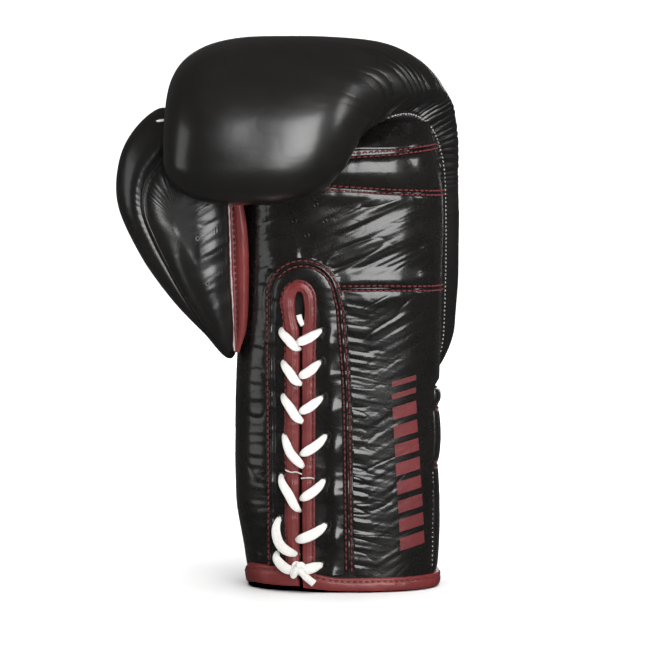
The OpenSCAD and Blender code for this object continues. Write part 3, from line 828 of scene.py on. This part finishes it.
def palm_end(z):
    """Angle where the palm panels meet the padding's inner face."""
    y = edge_y(z)
    return 360 + np.degrees(np.arcsin(spow(y / np.where(y < 0, palm_depth(z), back_depth(z)), 1.25)))


palm_skin = sleeve_skin("palm_skin", PALM_SEAM_Z, GRIP_LOW_Z, 205, palm_end, 200, 240, 0)
grip_skin = sleeve_skin("grip_bar_skin", GRIP_LOW_Z, GRIP_HIGH_Z, 205, palm_end, 70, 200)
finger_palm_skin = sleeve_skin("finger_palm_skin", GRIP_HIGH_Z, PALM_TOP, 205, palm_end, 40, 160)
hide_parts("palm_leather", "palm_foam")
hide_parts("grip_bar_leather", "grip_bar")
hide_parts("finger_palm_leather")


def facing_grid(rows=330, cols=44):
    """From the facing's edge in to the slit's binding."""
    outer = facing_outline(rows)
    z = np.clip(outer[:, 1], None, 158.0)
    side = np.sign(outer[:, 0] - FACING_ARCH_MID[0])
    inner_x = slit_mid(z) + side * (bind_half(z, -1) - 2)
    arch = outer[:, 1] > 163
    inner_z = np.where(arch, 160 + (outer[:, 1] - 163) * .38, outer[:, 1])
    inner_x = np.where(arch, mix(outer[:, 0], SLIT_X - 2, .62), inner_x)
    inner = np.stack([inner_x, inner_z], axis=-1)
    for _ in range(12):
        inner[1:-1] = (inner[:-2] + 2 * inner[1:-1] + inner[2:]) / 4
    u = ease(np.linspace(0, 1, cols)) * .25 + np.linspace(0, 1, cols) * .75
    return mix(outer[:, None], inner[:, None], u[None, :, None])


def facing_height(grid, from_edge):
    x, z = grid[..., 0], grid[..., 1]
    p = xyz(x, 0, z)
    h = .8 * (1 - np.exp(-from_edge / .6)) + .7 * np.sin(np.pi * np.clip((from_edge - 4) / 11, 0, 1))
    h = h + .55 * (groove(from_edge - 1.3, .7) + groove(from_edge - 4.4, .7))
    rucks = noise(xyz(x * .25, 0, z), (4, 5, 2.6), 21)
    soft = noise(xyz(x + z * .3, 0, z - x * .4), (9, 5, 12), 22)
    fine = noise(xyz(x * .3 + z * .1, 0, z), (3, 5, 1.5), 24)
    for hole_x, hole_z in (*(start for start, _ in LACE_RIGHT), *(start for start, _ in LACE_LEFT)):
        side = np.sign(hole_x - SLIT_X)
        h = h - 1.1 * np.exp(-((x - hole_x - side) ** 2 + (z - hole_z) ** 2) / 6)
        swell = 1.3 if side > 0 else .5
        h = h + swell * np.exp(-((x - hole_x - side * 5) / 4) ** 2 - ((z - hole_z + 8) / 6) ** 2)
    return h + .28 * rucks * np.exp(-np.abs(from_edge - 3) / 6) + .5 * soft + .1 * fine + .22 * fine_wrinkles(p)


flat_grid = facing_grid()
across = np.linalg.norm(flat_grid - flat_grid[:, :1], axis=-1)
facing = palm_sheet("lace_facing", flat_grid[..., 0], flat_grid[..., 1], facing_height(flat_grid, across), 1.0,
                    BLACK_LEATHER)

# ---------------------------------------------------------------- binding of the slit
BIND_ARCH_Z = 163.0


def bind_edge(far, count=240):
    """Line along the binding at a share far of its width from the slit's edge: 0 at the slit, 1 outside."""
    zs = np.linspace(HEM_H + 1.5, BIND_ARCH_Z, 60)
    left = np.stack([slit_mid(zs) - mix(slit_half(zs), bind_half(zs, -1), far), zs], axis=-1)
    right = np.stack([slit_mid(zs) + mix(slit_half(zs), bind_half(zs, 1), far), zs], axis=-1)[::-1]
    a = np.linspace(0, np.pi, 24)[1:-1]
    half = (right[0, 0] - left[-1, 0]) / 2
    mid_x = (right[0, 0] + left[-1, 0]) / 2
    rise = mix(5.0, 11.8, far)
    arch = np.stack([mid_x - half * np.cos(a), BIND_ARCH_Z + rise * np.sin(a)], axis=-1)
    return polyline(np.concatenate([left, arch, right]), count)


bind_rows, bind_cols = 420, 22
bind_u = np.linspace(0, 1, bind_cols)
bind_flat = np.stack([bind_edge(u, bind_rows) for u in bind_u], axis=1)
bx, bz = bind_flat[..., 0], bind_flat[..., 1]
bind_p = xyz(bx, 0, bz)
bulge = np.sin(np.pi * bind_u) ** .6
bind_fold = .75 * np.exp(-((bind_u - .42) / .13) ** 2) + .3 * np.exp(-((bind_u - .1) / .08) ** 2)
bind_height = (1.0 + 1.3 * bulge + bind_fold + .4 * groove(bind_u - .86, .06)
               + .3 * noise(bind_p * np.array([.4, 1, 1]), (4, 5, 6), 31) + .18 * noise(bind_p, (3, 3, 2.2), 32))
binding = palm_sheet("slit_binding_skin", bx, bz, bind_height, 1.2, TRIM_LEATHER)
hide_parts("slit_binding")

# The tongue is the dark lining seen through the slit
tongue_x, tongue_z = np.meshgrid(np.linspace(SLIT_X - 9, SLIT_X + 9, 20), np.linspace(HEM_H + 3, 170, 120))
tongue_relief = .4 * noise(xyz(tongue_x, 0, tongue_z), (5, 5, 12), 33)
tongue = sheet("slit_tongue", on_palm(tongue_x, tongue_z, -5 + tongue_relief), LINING, .8, outward=TO_FRONT)

# ---------------------------------------------------------------- lace
def strand(start, end, over, bow):
    """A strand from its hole, arched over the binding, into the slit."""
    (x0, z0), (x1, z1) = start, end
    t = np.linspace(0, 1, 26)
    side = np.array([z1 - z0, x0 - x1]) / math.hypot(x1 - x0, z1 - z0)
    bend = bow * np.sin(np.pi * t)
    x = mix(x0, x1, t) + side[0] * bend + .25 * np.sin(9 * t + z0)
    z = mix(z0, z1, t) + side[1] * bend + .25 * np.cos(7 * t + z0)
    out = through([[0, -1.5], [.08, 1.9], [.25, 4.1], [.7, 4.2 + over], [.9, 3.0 + over], [1, -.6 + over]], t)
    return off_palm(x, z, out)


STRAND_WIDTH = through([[0, .5], [.25, .95], [.6, 1.1], [.85, .95], [1, .45]], np.linspace(0, 1, 26))


laces = []
for number, (left, right) in enumerate(zip(LACE_LEFT, LACE_RIGHT), 1):
    wide = 5.4 if number >= 6 else 4.9
    bow = {6: 5.5, 7: 3.0}.get(number, .9)
    laces.append(many_tubes(f"lace_row_{number}", [strand(*left, 0, bow), strand(*right, 1.5, -.8)], LACE_COTTON,
                            wide * STRAND_WIDTH, 2.5, 12))
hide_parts("lace")
tail_route = smooth_line([(-24.5, 13.5), (-22.5, 12), (-20, 9), (-17.8, 6.8), (-15.8, 5)], 24)
tail_out = np.interp(np.linspace(0, 1, 24), [0, .3, 1], [5.4, 5.8, 3.6])
tail = many_tubes("lace_tail_end", [off_palm(*tail_route.T, tail_out)], LACE_COTTON, 4.2, 2.6, 12)
knot_t = np.linspace(0, 1, 60)
knot_x = -24 + 3.4 * np.sin(2 * np.pi * knot_t) * (1 - .25 * knot_t)
knot_z = 12.5 + 3.2 * np.sin(4 * np.pi * knot_t + .6)
knot_out = 4.4 + 1.5 * np.cos(2 * np.pi * knot_t)
knot = many_tubes("lace_knot_turns", [off_palm(knot_x, knot_z, knot_out)], LACE_COTTON, 3.4, 2.6, 12)
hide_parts("lace_knot")
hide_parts("lace_tail")
loop_z = smooth_line([(-24.6, 155), (-23.8, 152), (-22.2, 149.2)], 14)
lace_top = many_tubes("lace_top_turn", [before_palm(*loop_z.T, .6)], LACE_COTTON, 3.2, 2.4, 12)

# ---------------------------------------------------------------- hem
hem_angles = np.linspace(palm_angle(SLIT_X + 1.2, 4.0), palm_angle(SLIT_X - 1.2, 4.0) + 360, 420)
HEM_PROFILE_H = 7.7
HEM_STITCH_AT = 5.9
HEM_PROFILE = np.array([[-1.6, 1.2], [-1.7, .4], [-1.2, 0], [-.4, -.1], [.4, -.05], [1.5, .3], [2.0, 1.2],
                        [2.15, 2.6], [2.1, 4.2], [1.9, 5.3], [1.15, HEM_STITCH_AT], [1.5, 6.5], [1.2, 7.3],
                        [.3, HEM_PROFILE_H], [-1.0, 7.6], [-1.6, 6.0], [-1.7, 3.5]])
hem_across, hem_up = HEM_PROFILE.T[:, None]
hem_turn = hem_angles[:, None]
hem_z = hem_height(hem_turn, hem_up / HEM_PROFILE_H)
hem_out = hem_across + .22 * noise(xyz(hem_turn, 0, hem_z), (4.5, 5, 3), 41) * (hem_across > 0)
hem = loft("hem_binding_skin", sleeve(hem_turn, np.maximum(hem_z, .02), -hem_out)[::-1], [TRIM_LEATHER])
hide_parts("hem_binding")

# ---------------------------------------------------------------- back of the cuff: three stitched segments
def cuff_back_relief(angle, z):
    h = 0.0
    edges = (HEM_H, *BACK_GROOVES, CUFF_TOP)
    for low, high in zip(edges[:-1], edges[1:]):
        t = np.clip((z - low) / (high - low), 0, 1)
        h = h + 2.2 * (np.sin(np.pi * t) ** .45) * (z >= low) * (z <= high)
    for row in BACK_ROWS:
        h = h + .5 * groove(z - row, .8)
    p = sleeve(angle, z)
    ruck = noise(xyz(p[..., 0], p[..., 1], z * .2), (5, 5, 5), 51)
    near = sum(np.exp(-(np.abs(z - g) / 6) ** 2) for g in BACK_GROOVES)
    return h - 1.6 + .3 * ruck * near + fine_wrinkles(p, .7)


back_z, back_a = np.meshgrid(np.linspace(HEM_H - .8, CUFF_TOP, 260), np.linspace(SIDE_SEAM - 360, 172, 200),
                             indexing="ij")
from_side = lengths(sleeve(back_a, back_z), 1)
side_roll = np.sqrt(np.clip(1 - (1 - np.clip(from_side / 4, 0, 1)) ** 2, 0, 1))
back_relief = mix(-.6, cuff_back_relief(back_a, back_z) + 1.0 * np.exp(-from_side / 22), side_roll)
back_grid = raised(sleeve(back_a, back_z), back_relief)
cuff_back_skin = sheet("cuff_back_skin", back_grid, BLACK_LEATHER, edge_round=.6)
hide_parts("cuff_back_leather", "cuff_back_foam_low", "cuff_back_foam_middle",
            "cuff_back_foam_top")

# Tall enough to stay behind both edges when the wrist bends
break_z, break_a = np.meshgrid(np.linspace(92, 134, 60), np.linspace(SIDE_SEAM - 362, 184, 130), indexing="ij")
break_relief = .7 * noise(xyz(break_a * .6, 0, break_z), (9, 5, 4), 52)
wrist_skin = sheet("wrist_break_skin", raised(sleeve(break_a, break_z, 3.2), break_relief), BLACK_LEATHER, 1.0)
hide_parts("wrist_break_leather")

# ---------------------------------------------------------------- padded mitt and finger roll
def even_angles(count):
    """Section angles that are evenly spaced over the leather at the knuckles."""
    a = np.linspace(0, 180, 4000)
    at = lengths(pad(np.full_like(a, 1.5), a))
    return np.interp(np.linspace(0, at[-1], count), at, a)


def stations(counts):
    """Places along the hand: up it, round the fold and down the roll, closer together at the rounded ends."""
    up = np.linspace(0, 1, counts[0]) ** 1.25
    fold = np.linspace(1, 2, counts[1])[1:]
    end = 2 + np.sin(np.linspace(0, np.pi / 2, counts[2]))[1:]
    return np.concatenate([up, fold, end])


MITT_Q = stations((210, 330, 90))
MITT_A = even_angles(250)
BASE_COLS = 14
mitt_q, mitt_a = np.meshgrid(MITT_Q, MITT_A, indexing="ij")
mitt_grid = pad(mitt_q, mitt_a)
edge_at = lengths(pad(MITT_Q, 0.0))[:, None]
from_right = lengths(mitt_grid, 1)
from_left = from_right[:, -1:] - from_right


def gathers(at, away, reach, pitch, seed):
    """Leather gathered into a seam: sharp valleys every pitch, each with its own length and depth."""
    at, away = np.broadcast_arrays(at, away)
    row = at / pitch + .95 * noise(xyz(at / 8, away / 30, 0), 1.0, seed)
    k = np.floor(row)
    own = np.sin(k * 91.7 + seed) * 437.5
    own = own - np.floor(own)
    valley = -(1 - np.sin(np.pi * (row - k)) ** .7)
    length = reach * (.45 + .75 * own)
    return valley * (.5 + .6 * own) * np.exp(-(away / length) ** 1.6)


pleat_strength = through([[0, .1], [.6, .1], [.85, .35], [1.0, .9], [1.5, 1.15], [1.75, .9], [2, .2]], mitt_q)
pleat_reach = through([[0, 8], [.8, 14], [1.05, 24], [1.5, 30], [1.9, 12]], mitt_q)
mitt_relief = (1.5 * pleat_strength * gathers(edge_at, from_right, pleat_reach, 3.1, 3)
               + .55 * pleat_strength * noise(xyz(edge_at + 0 * from_right, from_right * .12, 0), 3.4, 61)
               * np.exp(-from_right / (pleat_reach + 14)))
left_strength = through([[0, .2], [1, .4], [1.6, .6], [2.4, .9], [3, .5]], mitt_q)
mitt_relief += .7 * left_strength * gathers(edge_at, from_left, 9, 4.2, 5)
broad = noise(mitt_grid, (60, 60, 50), 62)
inside_edges = ease((from_right - 2) / 6) * ease((from_left - 2) / 6)
mitt_relief += .6 * broad + .35 * noise(mitt_grid, (26, 26, 17), 63) + .22 * fine_wrinkles(mitt_grid) * inside_edges
mitt_relief += 1.1 * groove(from_right - 1.2, 1.3) + .6 * groove(from_left - 1.2, 1.4)
end_fade = ease((3 - mitt_q) / .1) * ease(mitt_q / .02)
mitt_outer = raised(mitt_grid, mitt_relief * end_fade)

left_x, right_x = pad(MITT_Q, 180.0)[:, 0], pad(MITT_Q, 0.0)[:, 0]
base_u = np.linspace(0, 1, BASE_COLS + 2)[1:-1]
base_x = mix(left_x[:, None], right_x[:, None], base_u[None])
sag = 1.1 * np.sin(np.pi * base_u)[None] * (end_round(MITT_Q)[:, None] > .9)
mitt_rings = np.concatenate([mitt_outer, lifted(MITT_Q[:, None] + 0 * base_x, base_x, -sag)], axis=1)
mitt_cols = mitt_rings.shape[1]
lined = (np.arange(mitt_cols)[None] >= len(MITT_A) - 1) & (MITT_Q[:-1, None] < 1.55)
mitt = loft("mitt_padded_skin", mitt_rings, [SMOOTH_LEATHER, LINING], lined.astype(int),
            hard_columns=(0, len(MITT_A) - 1))
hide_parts("mitt_leather", "back_foam_outer", "back_foam_inner", "back_lining", "roll_foam_inner",
            "roll_foam_outer", "fingertip_lining")

# ---------------------------------------------------------------- thumb
THUMB_COLS = 300
THUMB_ROWS = 130


def thumb_half(side):
    """One leather half of the thumb, from its seam to the middle of that side."""
    t = np.arange(THUMB_COLS) / THUMB_COLS
    u = np.linspace(0, 1, THUMB_ROWS)[:, None]
    rim = through(THUMB_WRAP, t)[None]
    grid = thumb(t[None], mix(rim, side * 89.0, u ** .9))
    away = lengths(grid)
    around = lengths(grid[0])[None]
    pleats = through([[0, .2], [.2, .5], [.45, .6], [.6, .8], [.8, .4], [1, .2]], t)[None]
    reach = 9 if side > 0 else 12
    h = 1.7 * (np.exp(-((away - 7) / 6) ** 2) * .45 - np.exp(-(away / 2.2) ** 1.5))
    h = h + (.25 if side > 0 else .3) * pleats * gathers(around, away, reach, 3.6, 7 + side)
    h = h + .3 * fine_wrinkles(grid) * ease(away / 5) + .7 * noise(grid, (36, 36, 30), 71)
    if side < 0:
        fan = xyz(grid[..., 0] * .7 + grid[..., 2] * .35, 0, grid[..., 2] - .6 * grid[..., 0])
        web = np.exp(-((grid[..., 0] + 70) / 16) ** 2) * np.exp(-((grid[..., 2] - 190) / 30) ** 2)
        h = h + web * (.7 * noise(fan, (26, 5, 7), 72) + .3 * creases(fan, (24, 5, 6), 73, .8)
                       + .2 * noise(fan, (20, 5, 2.4), 74))
    fade = ease((1 - u) / .12) * .9 + .1
    return grid, h * fade * side


thumb_skins = []
for thumb_name, side, old in (("thumb_outer_skin", 1, ("thumb_back_leather", "thumb_foam", "thumb_lining")),
                              ("thumb_palm_skin", -1, ("thumb_palm_leather",))):
    grid, h = thumb_half(side)
    n = normals(grid, closed=True)
    skin_outer = grid + n * h[..., None]
    crown = skin_outer[-1:].mean(axis=1, keepdims=True)
    skin_outer[-1] = crown
    inside = grid - n * side * np.minimum(LEATHER, 1.2)
    inside[-1] = crown - [0, side * 1.4, 0]
    skin = sheet(thumb_name, skin_outer, SMOOTH_LEATHER, outward=(0, side, 0), inner=inside, closed=True)
    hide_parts(*old)
    thumb_skins.append(skin)

seam_t = np.linspace(0, 1, 240)
seam_path = thumb(seam_t, through(THUMB_WRAP, seam_t))
seam_in = unit(np.array([THUMB_MID[0], THUMB_Y, THUMB_MID[1]]) - seam_path)
thumb_seam = many_tubes("thumb_seam_welt", [(seam_path + 2.0 * seam_in, seam_in)], SMOOTH_LEATHER, 3.0, 2.6)

# ---------------------------------------------------------------- web strip between thumb and palm
WEB_Z = (133, 219)
WEB_FRONT = -22.6
WEB_STITCH_IN = 2.4
WEB_THREAD_OUT = .3


def web_edge(z):
    """The strip's edge on the thumb side."""
    return np.interp(z, WEB_Z, (-60.8, -63.9))


def web_front(z):
    """Depth of the strip's flat part, which comes forward towards the top."""
    return WEB_FRONT - 1.2 * ease((z - 150) / 60)


web_z = np.linspace(*WEB_Z, 200)
web_left = web_edge(web_z)
web_right = through([[133, -58], [147, -53.9], [173, -52.6], [199, -53.2], [219, -56]], web_z)
web_u = np.linspace(0, 1, 26)[None]
web_x = mix(web_left[:, None], web_right[:, None], web_u)
web_rib = through([[0, 0], [.12, .5], [.24, .15], [.3, .05], [.45, 1.6], [.68, 2.5], [.88, 1.7], [1, 0]], web_u)
web_p = xyz(web_x, 0, web_z[:, None])
web_y = web_front(web_z[:, None]) - web_rib * ease((web_z[:, None] - 128) / 25) - .22 * noise(web_p, (4, 5, 7), 81)
web_strip = sheet("thumb_web_strip", xyz(web_x, web_y, web_z[:, None]), TRIM_LEATHER, 1.8, outward=TO_FRONT)
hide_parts("thumb_web_piping")

# ---------------------------------------------------------------- linings seen through the openings
def lining_ring(name, z0, z1, a0, a1, inset, seed, cols=150):
    z, a = np.meshgrid(np.linspace(z0, z1, 60), np.linspace(a0, a1, cols), indexing="ij")
    p = sleeve(a, z, inset)
    return sheet(name, raised(p, .7 * noise(p, (14, 14, 26), seed)), LINING, .9)


cuff_lining = lining_ring("cuff_lining_cloth", HEM_H - .5, 112, palm_angle(SLIT_X, 60) + 7,
                          palm_angle(SLIT_X, 60) + 353, 7.2, 91)
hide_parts("cuff_lining")
palm_lining = lining_ring("palm_lining_cloth", 113, 214, 205, 348, 5.6, 92)
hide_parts("palm_lining")

# ---------------------------------------------------------------- stitching
outline = facing_outline(300)


def inset_line(line, by):
    d = unit(np.gradient(line, axis=0))
    return line + by * np.stack([d[:, 1], -d[:, 0]], axis=-1)


facing_lines = []
for by in (1.5, 4.5):
    flat = inset_line(outline, by)
    first_row = by < 3
    if not first_row:
        flat = flat[flat[:, 0] > -36]
    facing_lines.append(off_palm(*flat.T, 1.0 if first_row else 1.5))
facing_thread = stitches("facing_stitches", facing_lines, THREAD)
bind_thread = stitches("binding_stitches", [off_palm(*bind_edge(.87, 300).T, 2.1)], THREAD, width=.8)


def double_row(name, line, gap):
    line = np.array(line, float)
    rows = [palm_stitch_line(line + [0, side * gap / 2], .2) for side in (-1, 1)]
    return stitches(name, rows, THREAD)


seam_thread = double_row("palm_seam_stitches", SEAM_LOW, 2.6)
grip_low_thread = double_row("grip_low_stitches", SEAM_GRIP_LOW, 2.4)
grip_high_thread = double_row("grip_high_stitches", SEAM_GRIP_HIGH, 2.4)

hem_a = np.linspace(palm_angle(SLIT_X + 2, 4.0), palm_angle(SLIT_X - 2, 4.0) + 360, 300)
hem_zs = hem_height(hem_a, HEM_STITCH_AT / HEM_PROFILE_H)
hem_p = sleeve(hem_a, hem_zs, -1.3)
hem_thread = stitches("hem_stitches", [(hem_p, unit(sleeve(hem_a, hem_zs, -2.3) - hem_p))], THREAD, width=.75)

back_lines = []
for row in BACK_ROWS:
    a = np.linspace(SIDE_SEAM - 356, 171, 300)
    p = sleeve(a, row, 1.1 - 1.0 * np.exp(-(a - SIDE_SEAM + 360) / 18))
    back_lines.append((p, unit(sleeve(a, row) - p)))
back_thread = stitches("cuff_back_stitches", back_lines, THREAD)

side_z = np.linspace(11, 66, 60)
side_p = sleeve(SIDE_SEAM - .3, side_z, -.1)
side_n = np.tile(np.array([.45, -.9, 0]), (60, 1))
side_thread = stitches("cuff_side_stitches", [(side_p, side_n)], PALE_THREAD, pitch=2.6, long=.8, width=.5, rise=.3)

web_line_z = np.linspace(140, 217, 80)
web_line = xyz(web_edge(web_line_z) + WEB_STITCH_IN, web_front(web_line_z) - WEB_THREAD_OUT, web_line_z)
web_thread = stitches("web_strip_stitches", [(web_line, np.tile(TO_FRONT, (80, 1)))], DARK_THREAD, width=.7)
raw_z = np.linspace(134, 218, 120)
raw_p = xyz(raw_z, 0, 0)
raw_line = xyz(web_edge(raw_z) + .3 * noise(raw_p, 2.3, 82),
               web_front(raw_z) - WEB_THREAD_OUT + .3 * noise(raw_p, 3.1, 83), raw_z)
raw_edge = many_tubes("web_strip_raw_edge", [(raw_line, TO_FRONT)], PALE_THREAD, .8 + .25 * noise(raw_p, 1.7, 84),
                      .8)

ulnar_q = np.linspace(.1, 1.62, 500)
ulnar = pad(ulnar_q, through([[0, 4.5], [.9, 4.5], [1.1, 1.6], [1.62, 1.2]], ulnar_q))
ulnar_mid = lifted(ulnar_q, mix(pad(ulnar_q, 0.0)[:, 0], pad(ulnar_q, 180.0)[:, 0], .3), 14.0)
ulnar_n = unit(ulnar - ulnar_mid)
ulnar_thread = stitches("side_seam_stitches", [(ulnar + .25 * ulnar_n, ulnar_n)], PALE_THREAD, pitch=2.3, long=.85,
                        width=.5, rise=.25)

# ---------------------------------------------------------------- small parts: vents, tacks, thumb lock
VENT_R = 1.15


def vent(x, z, out):
    """Lips of a punched vent hole."""
    a = np.linspace(0, 2 * np.pi, 20)
    return before_palm(x + VENT_R * np.cos(a), z + VENT_R * np.sin(a), out)


vents = many_tubes("palm_vents", [vent(x, z, .35) for x, z in ((-15, 216), (-27, 207), (-10, 207), (-20, 199))],
                   BLACK_LEATHER, .8, .7)
EYELET_A = np.linspace(0, 2 * np.pi, 24)


def thumb_front_point(x, z):
    """Front surface of the thumb over a place."""
    t = np.linspace(0, 1, 240)[None]
    lean = np.linspace(-89, -20, 120)[:, None]
    grid = thumb(t, lean)
    away = (grid[..., 0] - x) ** 2 + (grid[..., 2] - z) ** 2
    return grid.reshape(-1, 3)[away.argmin()]


thumb_vents = many_tubes("thumb_vents", [
    (thumb_front_point(x, z) + xyz(np.cos(EYELET_A), -.5 + 0 * EYELET_A, np.sin(EYELET_A)),
     np.tile(TO_FRONT, (24, 1))) for x, z in ((-80.6, 197.5), (-75.2, 172.2))], VENT_RIM, .6, .5)
lace_holes = many_tubes("lace_holes", [vent(x, z, .9) for (x, z), _ in (*LACE_RIGHT, *LACE_LEFT)], BLACK_LEATHER,
                        .9, .8)
TACKS = ([(-32.2, 68.5), (-29, 67.2), (-26, 67.4), (-22.9, 66.2)], [(-23.4, 63.9), (-19, 64.3), (-16, 63.9)])
tacks = many_tubes("lace_tack_threads", [before_palm(*smooth_line(line, 20).T, 3.9) for line in TACKS], PALE_THREAD,
                   .8, .8)
lock_route = np.array([thumb_front_point(x, 262.6 + .2 * (x + 102)) - [0, 1.0, 0]
                       for x in (-103.4, -102.2, -101, -99.8)])
lock_route = smooth_line([lock_route[0] + [0, 1.4, 0], *lock_route[1:], lock_route[-1] + [2.6, -.6, .6]], 24)
lock = many_tubes("thumb_lock_thread", [(lock_route, np.array([0, -1., .1]))], LACE_COTTON, 1.2, 1.0, 10)
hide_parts("thumb_lock_strap")

# ---------------------------------------------------------------- plain printed bars on the cuff
def print_bar(z0, z1, slant=3.5):
    """Places of a slanted bar of ink, and the leather's height there."""
    u = np.linspace(0, 1, 14)[None]
    v = np.linspace(0, 1, 12)[:, None]
    z = mix(z0, z1, v) + slant * (u - .5)
    mid = np.interp(z, [24, 110], [38.5, 33.5])
    x = mid + mix(-6.3, 7.3, u)
    return x, z, palm_relief(x, z)


INK = .16
bars = []
for k, (z0, z1) in enumerate(((24, 31), (34.5, 41.5), (45, 52), (55.5, 62.5), (66, 73), (76.5, 83.5), (87, 94),
                              (97.5, 104.5), (109, 112), (116, 119)), 1):
    bar_x, bar_z, bar_h = print_bar(z0, z1)
    bars.append(palm_sheet(f"cuff_print_bar_{k}", bar_x, bar_z, bar_h + INK, .5 - bar_h, PRINT))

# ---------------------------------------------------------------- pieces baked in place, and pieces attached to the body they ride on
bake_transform(mitt)
bends_at_wrist("shell_leather", thumb_side_skin, finger_side_skin, facing, wrist_skin, lace_holes)
bends_at_wrist("trim_leather", binding)
bends_at_wrist("lining_cloth", tongue)
bends_at_wrist("lace_cotton", lace_top, *laces)
bends_at_wrist("thread", facing_thread, bind_thread)
bends_at_wrist("thread_pale", tacks)
bends_at_wrist("print", *bars)
rides("cuff", "lace_cotton", tail, knot)
rides("cuff", "trim_leather", hem)
rides("cuff", "shell_leather", cuff_back_skin)
rides("cuff", "thread", hem_thread, back_thread)
rides("cuff", "thread_pale", side_thread)
rides("cuff", "lining_cloth", cuff_lining)
rides("mitt", "lining_cloth", palm_lining)
rides("mitt", "shell_leather", palm_skin, grip_skin, finger_palm_skin, vents)
for strip_piece, strip_slot in ((web_strip, "trim_leather"), (raw_edge, "thread_pale"), (web_thread, "thread")):
    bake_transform(strip_piece)
rides("mitt", "thread", seam_thread, grip_low_thread, grip_high_thread)
rides("mitt", "thread_pale", ulnar_thread)
rides("thumb", "shell_leather", *thumb_skins, thumb_seam)
rides("thumb", "thread_pale", thumb_vents)
rides("thumb", "lace_cotton", lock)

# ---------------------------------------------------------------- studio
def paper(name, glow=None):
    """White paper with an even glow, or with one that fades to pure white further out from the glove and drops
    below zero close round it, a painted shadow on the floor there.
    """
    n = Nodes(name)
    if glow is None:
        away = n.add("ShaderNodeVectorMath", operation="LENGTH")
        n.link(n.here(), away.inputs[0])
        # Painted shadow: the glow goes below zero within about 11 cm of the glove's middle, so the floor is darker
        # round the glove.
        near = n.math("SMOOTH_MIN", n.math("MULTIPLY", away.outputs["Value"], 1.1), 1.2)
        glow = n.math("MULTIPLY_ADD", near, 1.0, -.12)
    return n.finish(Base_Color=(.9, .9, .9, 1), Roughness=.6, Emission_Color=(1, 1, 1, 1), Emission_Strength=glow)


CAMERA_LIFT = math.radians(4.5)
CAMERA_FAR = 2.006
AIM = Vector((.0204, -.024, .1495))
bpy.ops.mesh.primitive_circle_add(vertices=96, radius=3, fill_type="NGON", location=(0, 0, -.0005))
floor = bpy.context.object
floor.name = "floor"
floor.data.materials.append(paper("white_floor_painted_shadow"))
bpy.ops.mesh.primitive_uv_sphere_add(segments=48, ring_count=24, radius=7)
dome = bpy.context.object
dome.name = "dome"
dome.data.materials.append(paper("white_dome", 1.2))
for stage_piece in (floor, dome):
    stage_piece.visible_glossy = False
dome.visible_diffuse = False
dome.visible_shadow = False

camera_data = bpy.data.cameras.new("camera")
camera_data.lens = 200
camera_data.sensor_width = 36
camera = bpy.data.objects.new("camera", camera_data)
bpy.context.scene.collection.objects.link(camera)
camera.location = AIM + CAMERA_FAR * Vector((0, -math.cos(CAMERA_LIFT), math.sin(CAMERA_LIFT)))
camera.rotation_euler = (math.pi / 2 - CAMERA_LIFT, 0, 0)
bpy.context.scene.camera = camera


def softbox(name, location, target, size, power):
    data = bpy.data.lights.new(name, "AREA")
    data.shape = "RECTANGLE"
    data.size, data.size_y = size
    data.energy = power
    obj = bpy.data.objects.new(name, data)
    obj.location = location
    obj.rotation_euler = (Vector(target) - Vector(location)).to_track_quat("-Z", "Y").to_euler()
    bpy.context.scene.collection.objects.link(obj)
    return obj


MIDDLE = (0, 0, .17)
softbox("front", (.55, -1.42, .64), MIDDLE, (1.0, 1.05), 23)
top = softbox("top", (0, 0, 1.5), (0, 0, 0), (1.9, 1.7), 42)
top.visible_glossy = False
softbox("left", (-1.35, -.45, .35), MIDDLE, (.7, .9), 2.4)
softbox("right", (1.35, -.5, .75), (0, 0, .28), (.16, .5), 2.2)
softbox("back", (.2, 1.5, .3), MIDDLE, (.9, .45), 2.5)
world = bpy.data.worlds.new("studio")
world.use_nodes = True
world.node_tree.nodes["Background"].inputs["Color"].default_value = (1, .98, .96, 1)
world.node_tree.nodes["Background"].inputs["Strength"].default_value = .05
bpy.context.scene.world = world
bpy.context.scene.view_settings.view_transform = "Standard"
